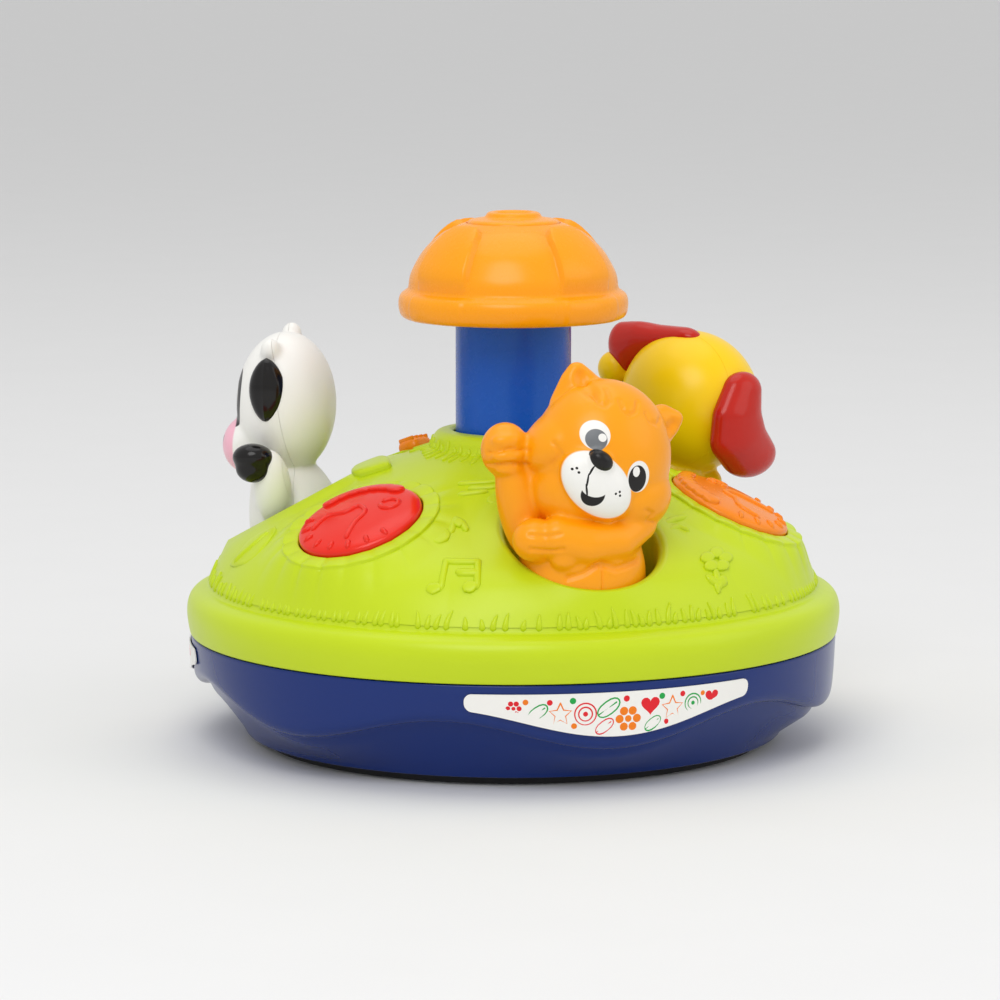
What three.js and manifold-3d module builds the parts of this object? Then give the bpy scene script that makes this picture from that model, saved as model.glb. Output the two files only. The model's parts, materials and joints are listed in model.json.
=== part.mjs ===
// A press-to-spin activity top: a mushroom cap on a column drives a round body on a hidden foot.
// Millimetres, +Z up, origin on the floor under the centre. The bear looks along -Y.
import * as THREE from 'three'
import { mergeVertices } from 'three/addons/utils/BufferGeometryUtils.js'
import Module from 'manifold-3d'

const wasm = await Module()
wasm.setup()

// Angles
const fullTurn = 2 * Math.PI
const degrees = (angle) => angle * Math.PI / 180
const bearAzimuth = -90
const figureStepAngle = 120
const buttonStepAngle = 60
const sliderAzimuth = 120
const bossAzimuth = 0

// Gaps
const seatGap = 0.3
const runningGap = 0.6
const overrun = 2
const mergeReach = 0.001

// Corners round a circle, by the size of the piece
const sides = { screw: 6, bore: 8, small: 10, medium: 12, large: 14, drive: 18, foot: 24, shell: 24 }

// Foot: plate, grip ring, journal collar and battery window
const foot = {
  radius: 84, thickness: 3, gripHeight: 2, gripWidth: 5, gripInset: 1,
  collarRadius: 20, collarHeight: 7, windowHalfWidth: 27, windowNear: 26.5, windowFar: 71.5
}
foot.bottom = foot.gripHeight
foot.top = foot.bottom + foot.thickness
foot.collarTop = foot.top + foot.collarHeight

// Thrust ring between the foot plate and the floor of the body
const thrust = { inset: 1.6, width: 3.8, height: 1.5 }
thrust.outer = foot.radius - thrust.inset
thrust.inner = thrust.outer - thrust.width

// Centre post: a flange that keeps the body down, and a six-sided bar that keeps the column from turning
const post = { cornerRadius: 11, flangeRadius: 25, flangeHeight: 2.5, top: 86, boreRadius: 2.3 }
post.flangeTop = foot.collarTop + post.flangeHeight
const postScrew = { shankRadius: 2, headRadius: 5, headHeight: 2.4, recess: 3, length: 26 }
const washer = { radius: 13.5, height: 2 }
washer.top = post.top + washer.height
const stopScrew = { headRadius: 4, headHeight: 2.2, length: 16 }

// Cap, column and drive helix
const column = {
  radius: 19, wall: 2.5, top: 146, topWall: 2, flangeRadius: 23, flangeHeight: 2.5, bottom: 74.3
}
column.inner = column.radius - column.wall
const helix = {
  coreRadius: 16, outerRadius: 18.5, boreRadius: 13.3, bottom: 37, grooveTop: 74, top: 85.5,
  hexDepth: 5.5, lead: 50, starts: 3, landSteps: 2, steps: 14
}
const spring = {
  radius: 10.4, wire: 0.8, turns: 6, stepsPerTurn: 7, wireSides: 4, endTurns: 1, closedShare: 2.2
}
const cap = {
  beadRadius: 37.8, beadBottom: 139, beadTop: 148, domeRadius: 34.5, crownRadius: 15.2, crownTop: 171,
  wall: 2.2, lobeRise: 1.5, lobeHalfAngle: 19.5, lobeAzimuth: -62.6, lobes: 4, lobeRampShare: 0.25,
  bossRadius: 3.4, bossRing: 27.5, bossShare: 0.45
}
// Places on the cap as shares of its radii and heights; the skin's third share is that of the lobes' rise
const beadShares = [[0.94, 0], [0.99, 0.18], [1, 0.55], [0.985, 0.84]]
const skinShares = [[1, 0.06, 0.6], [0.975, 0.28, 1], [0.89, 0.53, 1], [0.755, 0.75, 0.8], [0.6, 0.915, 0]]
const capInsideShares = [[0.72, 0.68], [0.95, 0.25]]
const crown = { height: 2.4, ringRadius: 7.8, ringWidth: 2, ringRise: 3, slope: 1.4, plugRadius: 12 }
const crownShares = { edge: 0.33, bevel: 0.5, bevelRise: 0.25, middle: 1.3, ringStep: 1.5 }
const underside = { thickness: 2, edgeGap: 0.5 }
const capScrew = {
  shankRadius: 1.2, headRadius: 2.6, headHeight: 1.4, length: 10, count: 3, boreRadius: 1.5, turnShare: 0.5
}

// Body: blue base shell and green dome cover
const seamHeight = 36
const base = {
  floorBottom: 6.8, floorThickness: 2.4, topRadius: 106.6, bulgeInset: 1.2, recessInset: 6.4,
  lipMargin: 4.6, lipBottom: 3, lipWall: 2, wall: 2.4, waveLow: 14, waveHigh: 23, waves: 6, bulge: 5,
  recessDrop: 3, footStep: 1, footHeight: 5
}
base.bulgeRadius = base.topRadius - base.bulgeInset
base.recessRadius = base.bulgeRadius - base.recessInset
base.lipRadius = foot.radius + base.lipMargin
base.footRadius = base.lipRadius + base.footStep
base.floorTop = base.floorBottom + base.floorThickness
base.top = seamHeight - seatGap
// Steps of the skirt as shares of its bulge
const skirtShares = {
  taper: 0.125, shoulder: 1.3, widest: 0.4, tuck: 0.35, tuckRise: 0.1, innerRise: 0.24, innerWall: 1.5
}
const hub = { inner: 27, wall: 3, top: 52, ledgeInner: 24.2, ledgeHeight: 3, clutchSeat: 36 }
hub.outer = hub.inner + hub.wall
const bush = { clearance: 0.6, wall: 2.4, flangeWidth: 1.5, flangeHeight: 2.1 }
const clutch = {
  inner: 19.6, thickness: 3.4, toothHeight: 2, teeth: 8, toothInner: 20.4, toothOuter: 25.8, toothShare: 0.45
}
const nut = {
  bottom: 44, thickness: 7.7, outer: 26.3, bore: 19.4, toothHeight: 2,
  pinRadius: 1.5, pinGap: 0.7, pinEndGap: 0.5
}
const retainer = { inner: 20.4, height: 2.4 }
const dome = {
  collarHole: 19.6, collarRise: 12.7, collarCrest: 24.6, collarShoulder: 26.4, collarFoot: 27.4,
  collarFootRise: 6.8, upperRadius: 47, upperHeight: 89.8, slopeShare: 0.478, shoulderRadius: 86,
  shoulderGrowth: 5, flankRadius: 93.2, flankGrowth: 3.8, flankHeight: 62.3, flankDrop: 1.8,
  waistRadius: 100.2, waistHeight: 52.8, lipTop: 50.4, lipRadius: 108, lipWide: 44.6,
  edgeRadius: 106.9, wall: 2.4
}
dome.collarTop = dome.upperHeight + dome.collarRise
dome.collarFootHeight = dome.upperHeight + dome.collarFootRise
// Steps of the dome's skin as shares of its wall
const domeShares = {
  mouthDrop: 0.33, mouth: 0.5, crestDrop: 0.13, shoulderDrop: 0.8, lipStep: 0.25, lipDrop: 0.13, lipSide: 0.6,
  flankInside: 0.6, shoulderInside: 0.7, upperInside: 1.1, boss: 0.5
}
const well = {
  centreRadius: 71.5, tiltAngle: 24, crestRadius: 28.5, throatRadius: 24.5, lipRound: 4, mound: 4.5,
  moundDrop: 7, wall: 2, tubeDrop: 39.8
}
well.tubeBottom = dome.upperHeight - well.tubeDrop
// Steps of the lip's rounding and of the mound outside it; heights of the cutter and of the tube
const lipShares = [0, 0.35, 0.7, 1]
const moundShares = [[1, 1], [0.7, 0.35], [0.3, 0.06]]
const wellShares = { cutterTop: 3, cutterStep: 2, cutterFoot: 2.4, tube: 1.6 }
const label = { halfAngle: 26, top: 33, edgeRise: 5, thickness: 0.4, gap: 0.35, steps: 7 }

// Buttons in sleeves of the dome, rubber pads and light boards
const button = {
  centreRadius: 72, tiltAngle: 25, radius: 20.5, edgeHeight: 2.2, crown: 5, wall: 1.8,
  flangeWidth: 1.9, flangeHeight: 1.5
}
const buttonShares = { crown: [[0.93, 0.4], [0.6, 0.85]], innerDrop: 0.25 }
const petal = { radius: 26, height: 1.5, sink: 6 }
const sleeve = { gap: 0.4, ledge: 2.1, ledgeDepth: 3.5, wall: 1.6, depth: 15.3, lipWidth: 1.4, lipHeight: 1 }
const pad = { outer: 21.6, wall: 2.4 }
const lightBoard = { thickness: 1.6, lampRadius: 2.5, lampHeight: 3, lampSpread: 5 }

// Power slider, its slot and its switch
const slider = {
  centreRadius: 44, width: 10.6, depth: 9, height: 4.2, travel: 6, ribs: 4, ribHeight: 0.7, ribWidth: 0.9,
  stemWidth: 5, stemDepth: 3.4, stemLength: 5.6, slotGap: 0.4
}
const slideSwitch = { width: 9.4, depth: 7.2, height: 3.4, pegRadius: 1.1, pegSpread: 3.4, pegOffset: 3.4 }

// Screws and bosses that join the dome and the base
const boss = { inset: 28.6, radius: 5.5, recess: 4.2, webBottom: 44, webHeight: 3 }
boss.ring = base.topRadius - boss.inset
const housingScrew = { shankRadius: 1.5, headRadius: 3.4, headHeight: 2, length: 16, boreRadius: 1.8 }

// Battery box, cells and door
const cell = { radius: 5.25, length: 44.5, count: 3, gap: 0.5, nubRadius: 1.8, nubLength: 0.8 }
cell.pitch = 2 * cell.radius + cell.gap
const box = {
  innerHalfWidth: 23.4, wall: 4, ledge: 1.9, height: 12.6, roof: 1.5, centre: 52
}
const door = { thickness: 2.1, tabRadius: 3.5, tabCentre: 31 }
const doorScrew = {
  shankRadius: 1.2, headRadius: 2.4, headHeight: 1.2, length: 9, bossHeight: 10, bossRadius: 3.4,
  boreRadius: 1.5
}

// Sound board, speaker and leads
const board = {
  centreRadius: 62, width: 44, depth: 30, thickness: 1.6, bottom: 15, pegRadius: 2.4, pegInset: 4
}
const chip = { radius: 6, height: 1.8, canRadius: 3, canHeight: 7, canSpread: 13 }
const speaker = {
  centreRadius: 60, flangeRadius: 20, flangeHeight: 1.6, coneRadius: 17, magnetRadius: 11, coneHeight: 6,
  height: 12, wallGap: 0.4, wallWidth: 1.6, wallHeight: 3
}
const grille = { slots: 5, slotWidth: 2.2, slotPitch: 5.6, slotLength: 24 }
const lead = { radius: 1.1, sides: 6, steps: 14, lift: 5, rise: 7, middleRadius: 40, boardShares: [-0.42, 0.42] }

// Figures: pin, brackets and hollow halves
const pivot = { radius: 66, drop: 44.8, pinRadius: 2, pinGap: 0.3, pinHalfLength: 28.5 }
pivot.height = dome.upperHeight - pivot.drop
const bracket = { inner: 24.2, thickness: 4, width: 10, crest: 4.2 }
const coil = { radius: 3.3, wire: 0.5, turns: 3, pitch: 1.25, stepsPerTurn: 6, wireSides: 4 }
const figure = {
  height: 90, wall: 2.2, partingGap: 0.3, leanAngle: 8, squashShare: 0.88,
  sides: 11, rings: 6, smallSides: 6, smallRings: 4
}

const materialOf = (color, roughness, metalness = 0) =>
  new THREE.MeshStandardMaterial({ color, roughness, metalness })
const orangePlastic = materialOf(0xfa9b1e, 0.35)
const bluePlastic = materialOf(0x2350a5, 0.35)
const limePlastic = materialOf(0xc4dc2a, 0.4)
const redPlastic = materialOf(0xf53c2d, 0.3)
const purplePlastic = materialOf(0xc8a0d7, 0.35)
const whitePlastic = materialOf(0xecece6, 0.35)
const yellowPlastic = materialOf(0xfad714, 0.35)
const greyPlastic = materialOf(0x8c9096, 0.5)
const labelFilm = materialOf(0xf6f4f0, 0.5)
const rubber = materialOf(0x3a3a3c, 0.9)
const steel = materialOf(0xb4b8bc, 0.35, 1)
const cellSleeve = materialOf(0x44484e, 0.4)
const boardGreen = materialOf(0x2f7d4a, 0.6)
const leadSleeve = materialOf(0x202020, 0.6)

// Keeps only the places of the corners, joins shared corners, drops empty faces and turns the rest outward.
const closed = (geometry) => {
  geometry.deleteAttribute('normal')
  geometry.deleteAttribute('uv')
  const merged = mergeVertices(geometry, mergeReach)
  const corner = merged.attributes.position
  const source = merged.index.array
  const faces = []
  let volume = 0
  const [a, b, c] = [new THREE.Vector3(), new THREE.Vector3(), new THREE.Vector3()]
  for (let i = 0; i < source.length; i += 3) {
    const [p, q, r] = [source[i], source[i + 1], source[i + 2]]
    if (p === q || q === r || r === p) continue
    faces.push(p, q, r)
    a.fromBufferAttribute(corner, p)
    b.fromBufferAttribute(corner, q)
    c.fromBufferAttribute(corner, r)
    volume += a.dot(b.cross(c))
  }
  if (volume < 0) {
    for (let i = 0; i < faces.length; i += 3) {
      [faces[i + 1], faces[i + 2]] = [faces[i + 2], faces[i + 1]]
    }
  }
  merged.setIndex(faces)
  return merged
}

const solid = (geometry) => {
  const shell = closed(geometry)
  const vertProperties = Float32Array.from(shell.attributes.position.array)
  const triVerts = Uint32Array.from(shell.index.array)
  return new wasm.Manifold(new wasm.Mesh({ numProp: 3, vertProperties, triVerts }))
}

const joined = (first, ...others) => others.reduce((sum, next) => sum.add(next), first)

const without = (first, ...tools) => tools.reduce((rest, tool) => rest.subtract(tool), first)

const geometryOf = (body) => {
  const { vertProperties, triVerts } = body.getMesh()
  const geometry = new THREE.BufferGeometry()
  geometry.setAttribute('position', new THREE.BufferAttribute(Float32Array.from(vertProperties), 3))
  geometry.setIndex(Array.from(triVerts))
  return geometry
}

const top = new THREE.Group()

const add = (name, shape, material) => {
  const geometry = shape.isBufferGeometry ? closed(shape) : geometryOf(shape)
  geometry.computeVertexNormals()
  const mesh = new THREE.Mesh(geometry, material)
  mesh.name = name
  top.add(mesh)
}

// A profile of [radius, height] points turned about the Z axis
const turned = (profile, count) =>
  new THREE.LatheGeometry(profile.map(([r, z]) => new THREE.Vector2(r, z)), count).rotateX(Math.PI / 2)

const ring = (inner, outer, bottom, upper, count) =>
  turned([[inner, bottom], [outer, bottom], [outer, upper], [inner, upper], [inner, bottom]], count)

const rod = (radius, bottom, upper, count) =>
  turned([[0, bottom], [radius, bottom], [radius, upper], [0, upper]], count)

const block = (width, depth, bottom, upper) =>
  new THREE.BoxGeometry(width, depth, upper - bottom).translate(0, 0, (bottom + upper) / 2)

const ball = (half, count, rings) =>
  new THREE.SphereGeometry(1, count, rings).rotateX(Math.PI / 2).scale(...half)

// Faces of a fan over a convex loop of corners
const fan = (count) => Array.from({ length: count - 2 }, (_, i) => [0, i + 1, i + 2])

// Joins like loops of corners into one closed skin, round in a ring or with a cap at each end
const lofted = (loops, round, capFaces) => {
  const count = loops[0].length
  const positions = loops.flat(2)
  const faces = []
  const spans = round ? loops.length : loops.length - 1
  for (let i = 0; i < spans; i++) {
    const [here, next] = [i * count, ((i + 1) % loops.length) * count]
    for (let j = 0; j < count; j++) {
      const k = (j + 1) % count
      faces.push(here + j, here + k, next + k, here + j, next + k, next + j)
    }
  }
  if (!round) {
    const last = (loops.length - 1) * count
    for (const [p, q, r] of capFaces ?? fan(count)) {
      faces.push(p, r, q, last + p, last + q, last + r)
    }
  }
  const geometry = new THREE.BufferGeometry()
  geometry.setAttribute('position', new THREE.Float32BufferAttribute(positions, 3))
  geometry.setIndex(faces)
  return geometry
}

// A profile that changes with the angle, carried round the Z axis
const revolved = (profileAt, steps) => lofted(Array.from({ length: steps }, (_, i) => {
  const angle = fullTurn * i / steps
  return profileAt(angle).map(([r, z]) => [r * Math.cos(angle), r * Math.sin(angle), z])
}), true)

// A tube of a small section along a list of points of a curve
const tubeAlong = (placeAt, steps, radius, count) => {
  const points = Array.from({ length: steps + 1 }, (_, i) => placeAt(i / steps))
  const loops = points.map((point, i) => {
    const ahead = points[Math.min(i + 1, steps)].clone().sub(points[Math.max(i - 1, 0)]).normalize()
    const side = new THREE.Vector3(0, 0, 1).cross(ahead).normalize()
    const rise = ahead.clone().cross(side)
    return Array.from({ length: count }, (__, j) => {
      const turn = fullTurn * j / count
      const place = point.clone().addScaledVector(side, radius * Math.cos(turn))
      return place.addScaledVector(rise, radius * Math.sin(turn)).toArray()
    })
  })
  return lofted(loops, false)
}

// Moves a shape from a frame that looks along -Y to the azimuth of its own place
const toAzimuth = (geometry, azimuth) => geometry.rotateZ(degrees(azimuth - bearAzimuth))

// Moves a shape that stands on the origin to a tilted seat on the dome's slope
const toSeat = (geometry, seatRadius, seatHeight, tilt, azimuth) =>
  toAzimuth(geometry.rotateX(degrees(tilt)).translate(0, -seatRadius, seatHeight), azimuth)

const screw = (shankRadius, headRadius, headHeight, length) => turned([
  [0, 0], [headRadius, 0], [headRadius, headHeight],
  [shankRadius, headHeight], [shankRadius, length], [0, length]
], sides.screw)

const domeHeight = (r) => dome.upperHeight - dome.slopeShare * (r - dome.upperRadius)

// 1 at the three figures, 0 at the three buttons
const figureShare = (angle) => 0.5 + 0.5 * Math.cos(3 * (angle - degrees(bearAzimuth)))

const waveHeight = (angle) => {
  const share = 0.5 - 0.5 * Math.cos(base.waves * (angle - degrees(bearAzimuth)))
  return base.waveLow + (base.waveHigh - base.waveLow) * share
}

const figureAzimuths = [0, 1, 2].map((i) => bearAzimuth + i * figureStepAngle)
const figureNames = ['bear', 'dog', 'cow']
const buttonNames = ['orange', 'purple', 'red']

// Foot

const gripOuter = foot.radius - foot.gripInset
const plate = without(
  joined(
    solid(rod(foot.radius, foot.bottom, foot.top, sides.foot)),
    solid(rod(foot.collarRadius, foot.bottom, foot.collarTop, sides.drive))
  ),
  solid(rod(
    postScrew.headRadius + seatGap, foot.bottom - overrun, foot.bottom + postScrew.recess, sides.medium
  )),
  solid(rod(post.boreRadius, foot.bottom - overrun, foot.collarTop + overrun, sides.bore)),
  solid(block(
    2 * foot.windowHalfWidth, foot.windowFar - foot.windowNear, foot.bottom - overrun, foot.top + overrun
  ).translate(0, (foot.windowNear + foot.windowFar) / 2, 0))
)
add('foot_plate', plate, greyPlastic)
add('foot_grip_ring', ring(gripOuter - foot.gripWidth, gripOuter, 0, foot.gripHeight, sides.foot), rubber)
add('thrust_ring', ring(
  thrust.inner, thrust.outer, foot.top, foot.top + thrust.height, sides.foot
), whitePlastic)
const postScrewSeat = foot.bottom + postScrew.recess - postScrew.headHeight - seatGap
add('post_screw', screw(postScrew.shankRadius, postScrew.headRadius, postScrew.headHeight, postScrew.length)
  .translate(0, 0, postScrewSeat), steel)
const postBody = without(
  joined(
    solid(rod(post.flangeRadius, foot.collarTop, post.flangeTop, sides.drive)),
    solid(rod(post.cornerRadius, foot.collarTop, post.top, sides.screw))
  ),
  solid(rod(
    post.boreRadius, foot.collarTop - overrun, postScrewSeat + postScrew.length + seatGap, sides.bore
  )),
  solid(rod(post.boreRadius, post.top - stopScrew.length, post.top + overrun, sides.bore))
)
add('centre_post', postBody, greyPlastic)
add('stop_washer', ring(post.boreRadius, washer.radius, post.top, washer.top, sides.medium), steel)
add('stop_screw', screw(postScrew.shankRadius, stopScrew.headRadius, stopScrew.headHeight, stopScrew.length)
  .rotateX(Math.PI).translate(0, 0, washer.top + stopScrew.headHeight), steel)

const springBottom = washer.top
const springTop = column.top - column.topWall - seatGap
const springPath = (share) => {
  const turns = spring.turns + 2 * spring.endTurns
  const turn = share * turns
  const run = Math.min(Math.max(turn - spring.endTurns, 0), spring.turns) / spring.turns
  const closedTurns = Math.min(turn, spring.endTurns) + Math.max(turn - turns + spring.endTurns, 0)
  const closedRise = spring.closedShare * spring.wire * closedTurns
  const free = springTop - springBottom - 2 * spring.wire * (1 + spring.closedShare * spring.endTurns)
  const z = springBottom + spring.wire + closedRise + free * run
  return new THREE.Vector3(
    spring.radius * Math.cos(fullTurn * turn), spring.radius * Math.sin(fullTurn * turn), z
  )
}
add('return_spring', tubeAlong(
  springPath, (spring.turns + 2 * spring.endTurns) * spring.stepsPerTurn, spring.wire, spring.wireSides
), steel)

// Column and drive helix

const columnBody = solid(turned([
  [column.inner, column.bottom], [column.radius, column.bottom],
  [column.radius, column.top - column.flangeHeight], [column.flangeRadius, column.top - column.flangeHeight],
  [column.flangeRadius, column.top], [0, column.top], [0, column.top - column.topWall],
  [column.inner, column.top - column.topWall], [column.inner, column.bottom]
], sides.drive))
add('column', columnBody, bluePlastic)

// Outline of the helix: a round bar with a narrow groove for each follower pin of the nut
const climbAngle = Math.atan(helix.lead / (fullTurn * helix.coreRadius))
const grooveHalfWidth = (nut.pinRadius + nut.pinGap) / Math.sin(climbAngle)
const grooveHalfAngle = THREE.MathUtils.radToDeg(grooveHalfWidth / helix.coreRadius)
const helixOutline = Array.from({ length: helix.starts }, (_, i) => {
  const middle = i * 360 / helix.starts
  const land = 360 / helix.starts - 2 * grooveHalfAngle
  const corners = [[helix.coreRadius, middle - grooveHalfAngle], [helix.coreRadius, middle + grooveHalfAngle]]
  for (let j = 0; j <= helix.landSteps; j++) {
    corners.push([helix.outerRadius, middle + grooveHalfAngle + land * j / helix.landSteps])
  }
  return corners.map(([r, angle]) => [r * Math.cos(degrees(angle)), r * Math.sin(degrees(angle))])
}).flat()

// The outline twisted along Z with the lead of the drive, left-handed
const twisted = (outline, bottom, upper, steps) => {
  const loops = Array.from({ length: steps + 1 }, (_, i) => {
    const z = bottom + (upper - bottom) * i / steps
    const turn = -fullTurn * z / helix.lead
    return outline.map(([x, y]) => [
      x * Math.cos(turn) - y * Math.sin(turn), x * Math.sin(turn) + y * Math.cos(turn), z
    ])
  })
  const faces = THREE.ShapeUtils.triangulateShape(outline.map(([x, y]) => new THREE.Vector2(x, y)), [])
  return lofted(loops, false, faces)
}
const plugRadius = column.inner - seatGap
const helixBody = without(
  joined(
    solid(twisted(helixOutline, helix.bottom, helix.grooveTop, helix.steps)),
    solid(rod(plugRadius, helix.grooveTop - overrun, helix.top, sides.drive))
  ),
  solid(rod(helix.boreRadius, helix.bottom - overrun, helix.top - helix.hexDepth, sides.medium)),
  solid(rod(post.cornerRadius + seatGap, helix.bottom - overrun, helix.top + overrun, sides.screw))
)
add('drive_helix', helixBody, whitePlastic)

// Drive nut and clutch: two rings of face teeth that meet when the cap is pressed

const faceTeeth = (bottom, upper) => {
  const pitch = fullTurn / clutch.teeth
  return Array.from({ length: clutch.teeth }, (_, i) => {
    const [from, to] = [i * pitch, (i + clutch.toothShare) * pitch]
    const corners = [
      [clutch.toothInner, from], [clutch.toothOuter, from], [clutch.toothOuter, to], [clutch.toothInner, to]
    ]
    const loopAt = (z) => corners.map(([r, angle]) => [r * Math.cos(angle), r * Math.sin(angle), z])
    return solid(lofted([loopAt(bottom), loopAt(upper)], false))
  })
}
const nutTop = nut.bottom + nut.thickness
const pinHeight = nut.bottom + nut.thickness / 2
const followerPins = Array.from({ length: helix.starts }, (_, i) => {
  const azimuth = 360 * i / helix.starts - 360 * pinHeight / helix.lead
  const start = helix.coreRadius + nut.pinEndGap
  return solid(rod(nut.pinRadius, start, nut.bore + overrun, sides.bore).rotateY(Math.PI / 2)
    .translate(0, 0, pinHeight).rotateZ(degrees(azimuth)))
})
add('drive_nut', joined(
  solid(ring(nut.bore, nut.outer, nut.bottom, nutTop, sides.drive)),
  ...followerPins, ...faceTeeth(nut.bottom - nut.toothHeight, nut.bottom + seatGap)
), whitePlastic)
const clutchTop = hub.clutchSeat + clutch.thickness
add('clutch_ring', joined(
  solid(ring(clutch.inner, hub.inner - seatGap, hub.clutchSeat, clutchTop, sides.drive)),
  ...faceTeeth(clutchTop - seatGap, clutchTop + clutch.toothHeight)
), whitePlastic)
add('nut_retainer', ring(
  retainer.inner, hub.outer, hub.top, hub.top + retainer.height, sides.drive
), greyPlastic)
const bushInner = foot.collarRadius + bush.clearance
const bushOuter = bushInner + bush.wall
const bushTop = foot.collarTop - seatGap
const bushFlange = base.floorTop + seatGap
add('hub_bush', turned([
  [bushInner, base.floorBottom], [bushOuter, base.floorBottom], [bushOuter, bushFlange],
  [bushOuter + bush.flangeWidth, bushFlange], [bushOuter + bush.flangeWidth, bushTop],
  [bushInner, bushTop], [bushInner, base.floorBottom]
], sides.drive), whitePlastic)

// Base shell

const skirtProfile = (angle) => {
  const edge = waveHeight(angle)
  const recessZ = edge - base.recessDrop
  const climb = (base.floorTop - base.footHeight) / (recessZ - base.footHeight)
  const innerFoot = base.footRadius + (base.recessRadius - base.footRadius) * climb - base.wall - seatGap
  return [
    [base.topRadius, base.top],
    [base.topRadius - base.bulge * skirtShares.taper, edge + base.bulge * skirtShares.shoulder],
    [base.bulgeRadius, edge + base.bulge * skirtShares.widest],
    [base.bulgeRadius - base.bulge * skirtShares.tuck, edge],
    [base.recessRadius + base.bulge * skirtShares.tuck, edge + base.bulge * skirtShares.tuckRise],
    [base.recessRadius, recessZ], [base.footRadius, base.footHeight], [base.lipRadius, base.lipBottom],
    [base.lipRadius - base.lipWall, base.lipBottom], [base.lipRadius - base.lipWall, base.floorBottom],
    [hub.inner + hub.wall / 2, base.floorBottom], [hub.inner + hub.wall / 2, base.floorTop],
    [innerFoot, base.floorTop], [base.recessRadius - base.wall, edge + base.bulge * skirtShares.innerRise],
    [base.topRadius - base.wall * skirtShares.innerWall, edge + base.bulge],
    [base.topRadius - base.wall, base.top]
  ]
}
const hubProfile = [
  [bushOuter + seatGap, base.floorBottom], [hub.outer, base.floorBottom], [hub.outer, hub.top],
  [hub.inner, hub.top], [hub.inner, hub.clutchSeat], [hub.ledgeInner, hub.clutchSeat],
  [hub.ledgeInner, hub.clutchSeat - hub.ledgeHeight], [hub.inner, hub.clutchSeat - hub.ledgeHeight],
  [hub.inner, base.floorTop], [bushOuter + seatGap, base.floorTop], [bushOuter + seatGap, base.floorBottom]
]

const bossAzimuths = [0, 1, 2].map((i) => bossAzimuth + i * figureStepAngle)
const atBoss = (geometry, azimuth) => toAzimuth(geometry.translate(0, -boss.ring, 0), azimuth)
const webTop = boss.webBottom + boss.webHeight
const baseBosses = bossAzimuths.map((azimuth) =>
  solid(atBoss(rod(boss.radius, base.floorBottom, webTop, sides.small), azimuth)))
const baseBossBores = bossAzimuths.flatMap((azimuth) => [
  solid(atBoss(rod(boss.recess, base.floorBottom - overrun, boss.webBottom, sides.bore), azimuth)),
  solid(atBoss(
    rod(housingScrew.boreRadius, boss.webBottom - overrun, webTop + overrun, sides.screw), azimuth
  ))
])

const bracketTop = pivot.height + bracket.crest
const bracketShape = (side) => block(bracket.thickness, bracket.width, base.floorTop - seatGap, bracketTop)
  .translate(side * (bracket.inner + bracket.thickness / 2), -pivot.radius, 0)
const brackets = figureAzimuths.flatMap((azimuth) =>
  [-1, 1].map((side) => solid(toAzimuth(bracketShape(side), azimuth))))
const pinShape = (radius, halfLength) => rod(radius, -halfLength, halfLength, sides.bore)
  .rotateY(Math.PI / 2).translate(0, -pivot.radius, pivot.height)
const bracketBores = figureAzimuths.map((azimuth) =>
  solid(toAzimuth(pinShape(pivot.pinRadius + pivot.pinGap, pivot.pinHalfLength + overrun), azimuth)))

const boxOuterHalfWidth = box.innerHalfWidth + box.wall
const boxInnerHalfDepth = cell.pitch * cell.count / 2
const boxOuterHalfDepth = boxInnerHalfDepth + box.wall
const boxTop = base.floorTop + box.height
const openingHalfWidth = box.innerHalfWidth + box.ledge
const openingHalfDepth = boxInnerHalfDepth + box.ledge
const atBox = (geometry) => geometry.translate(0, box.centre, 0)
const boxWalls = solid(atBox(block(
  2 * boxOuterHalfWidth, 2 * boxOuterHalfDepth, base.floorTop - seatGap, boxTop + box.roof
)))
const boxRoom = solid(atBox(block(
  2 * box.innerHalfWidth, 2 * boxInnerHalfDepth, base.floorTop - overrun, boxTop
)))
const doorOpening = joined(
  solid(atBox(block(2 * openingHalfWidth, 2 * openingHalfDepth, base.floorBottom - overrun, base.floorTop))),
  solid(rod(door.tabRadius + seatGap, base.floorBottom - overrun, base.floorTop, sides.medium)
    .translate(0, door.tabCentre, 0))
)
const doorBossTop = base.floorTop + doorScrew.bossHeight
const doorBoss = solid(rod(doorScrew.bossRadius + seatGap, base.floorTop - seatGap, doorBossTop, sides.medium)
  .translate(0, door.tabCentre, 0))
const doorBore = solid(rod(doorScrew.boreRadius, base.floorBottom, doorBossTop - seatGap, sides.bore)
  .translate(0, door.tabCentre, 0))

const boardAzimuth = bearAzimuth - buttonStepAngle
const speakerAzimuth = bearAzimuth + buttonStepAngle
const atBoard = (geometry) => toAzimuth(geometry.translate(0, -board.centreRadius, 0), boardAzimuth)
const boardPegs = [[-1, -1], [-1, 1], [1, -1], [1, 1]].map(([sx, sy]) => solid(atBoard(
  rod(board.pegRadius, base.floorTop - seatGap, board.bottom - seatGap, sides.screw).translate(
    sx * (board.width / 2 - board.pegInset), sy * (board.depth / 2 - board.pegInset), 0
  ))))
const atSpeaker = (geometry) => toAzimuth(geometry.translate(0, -speaker.centreRadius, 0), speakerAzimuth)
const speakerWallInner = speaker.flangeRadius + speaker.wallGap
const speakerWallTop = base.floorTop + speaker.wallHeight
const speakerWall = solid(atSpeaker(ring(
  speakerWallInner, speakerWallInner + speaker.wallWidth, base.floorTop - seatGap, speakerWallTop, sides.large
)))
const grilleSlots = Array.from({ length: grille.slots }, (_, i) => solid(atSpeaker(
  block(grille.slotLength, grille.slotWidth, base.floorBottom - overrun, base.floorTop + overrun)
    .translate(0, (i - (grille.slots - 1) / 2) * grille.slotPitch, 0))))

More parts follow.
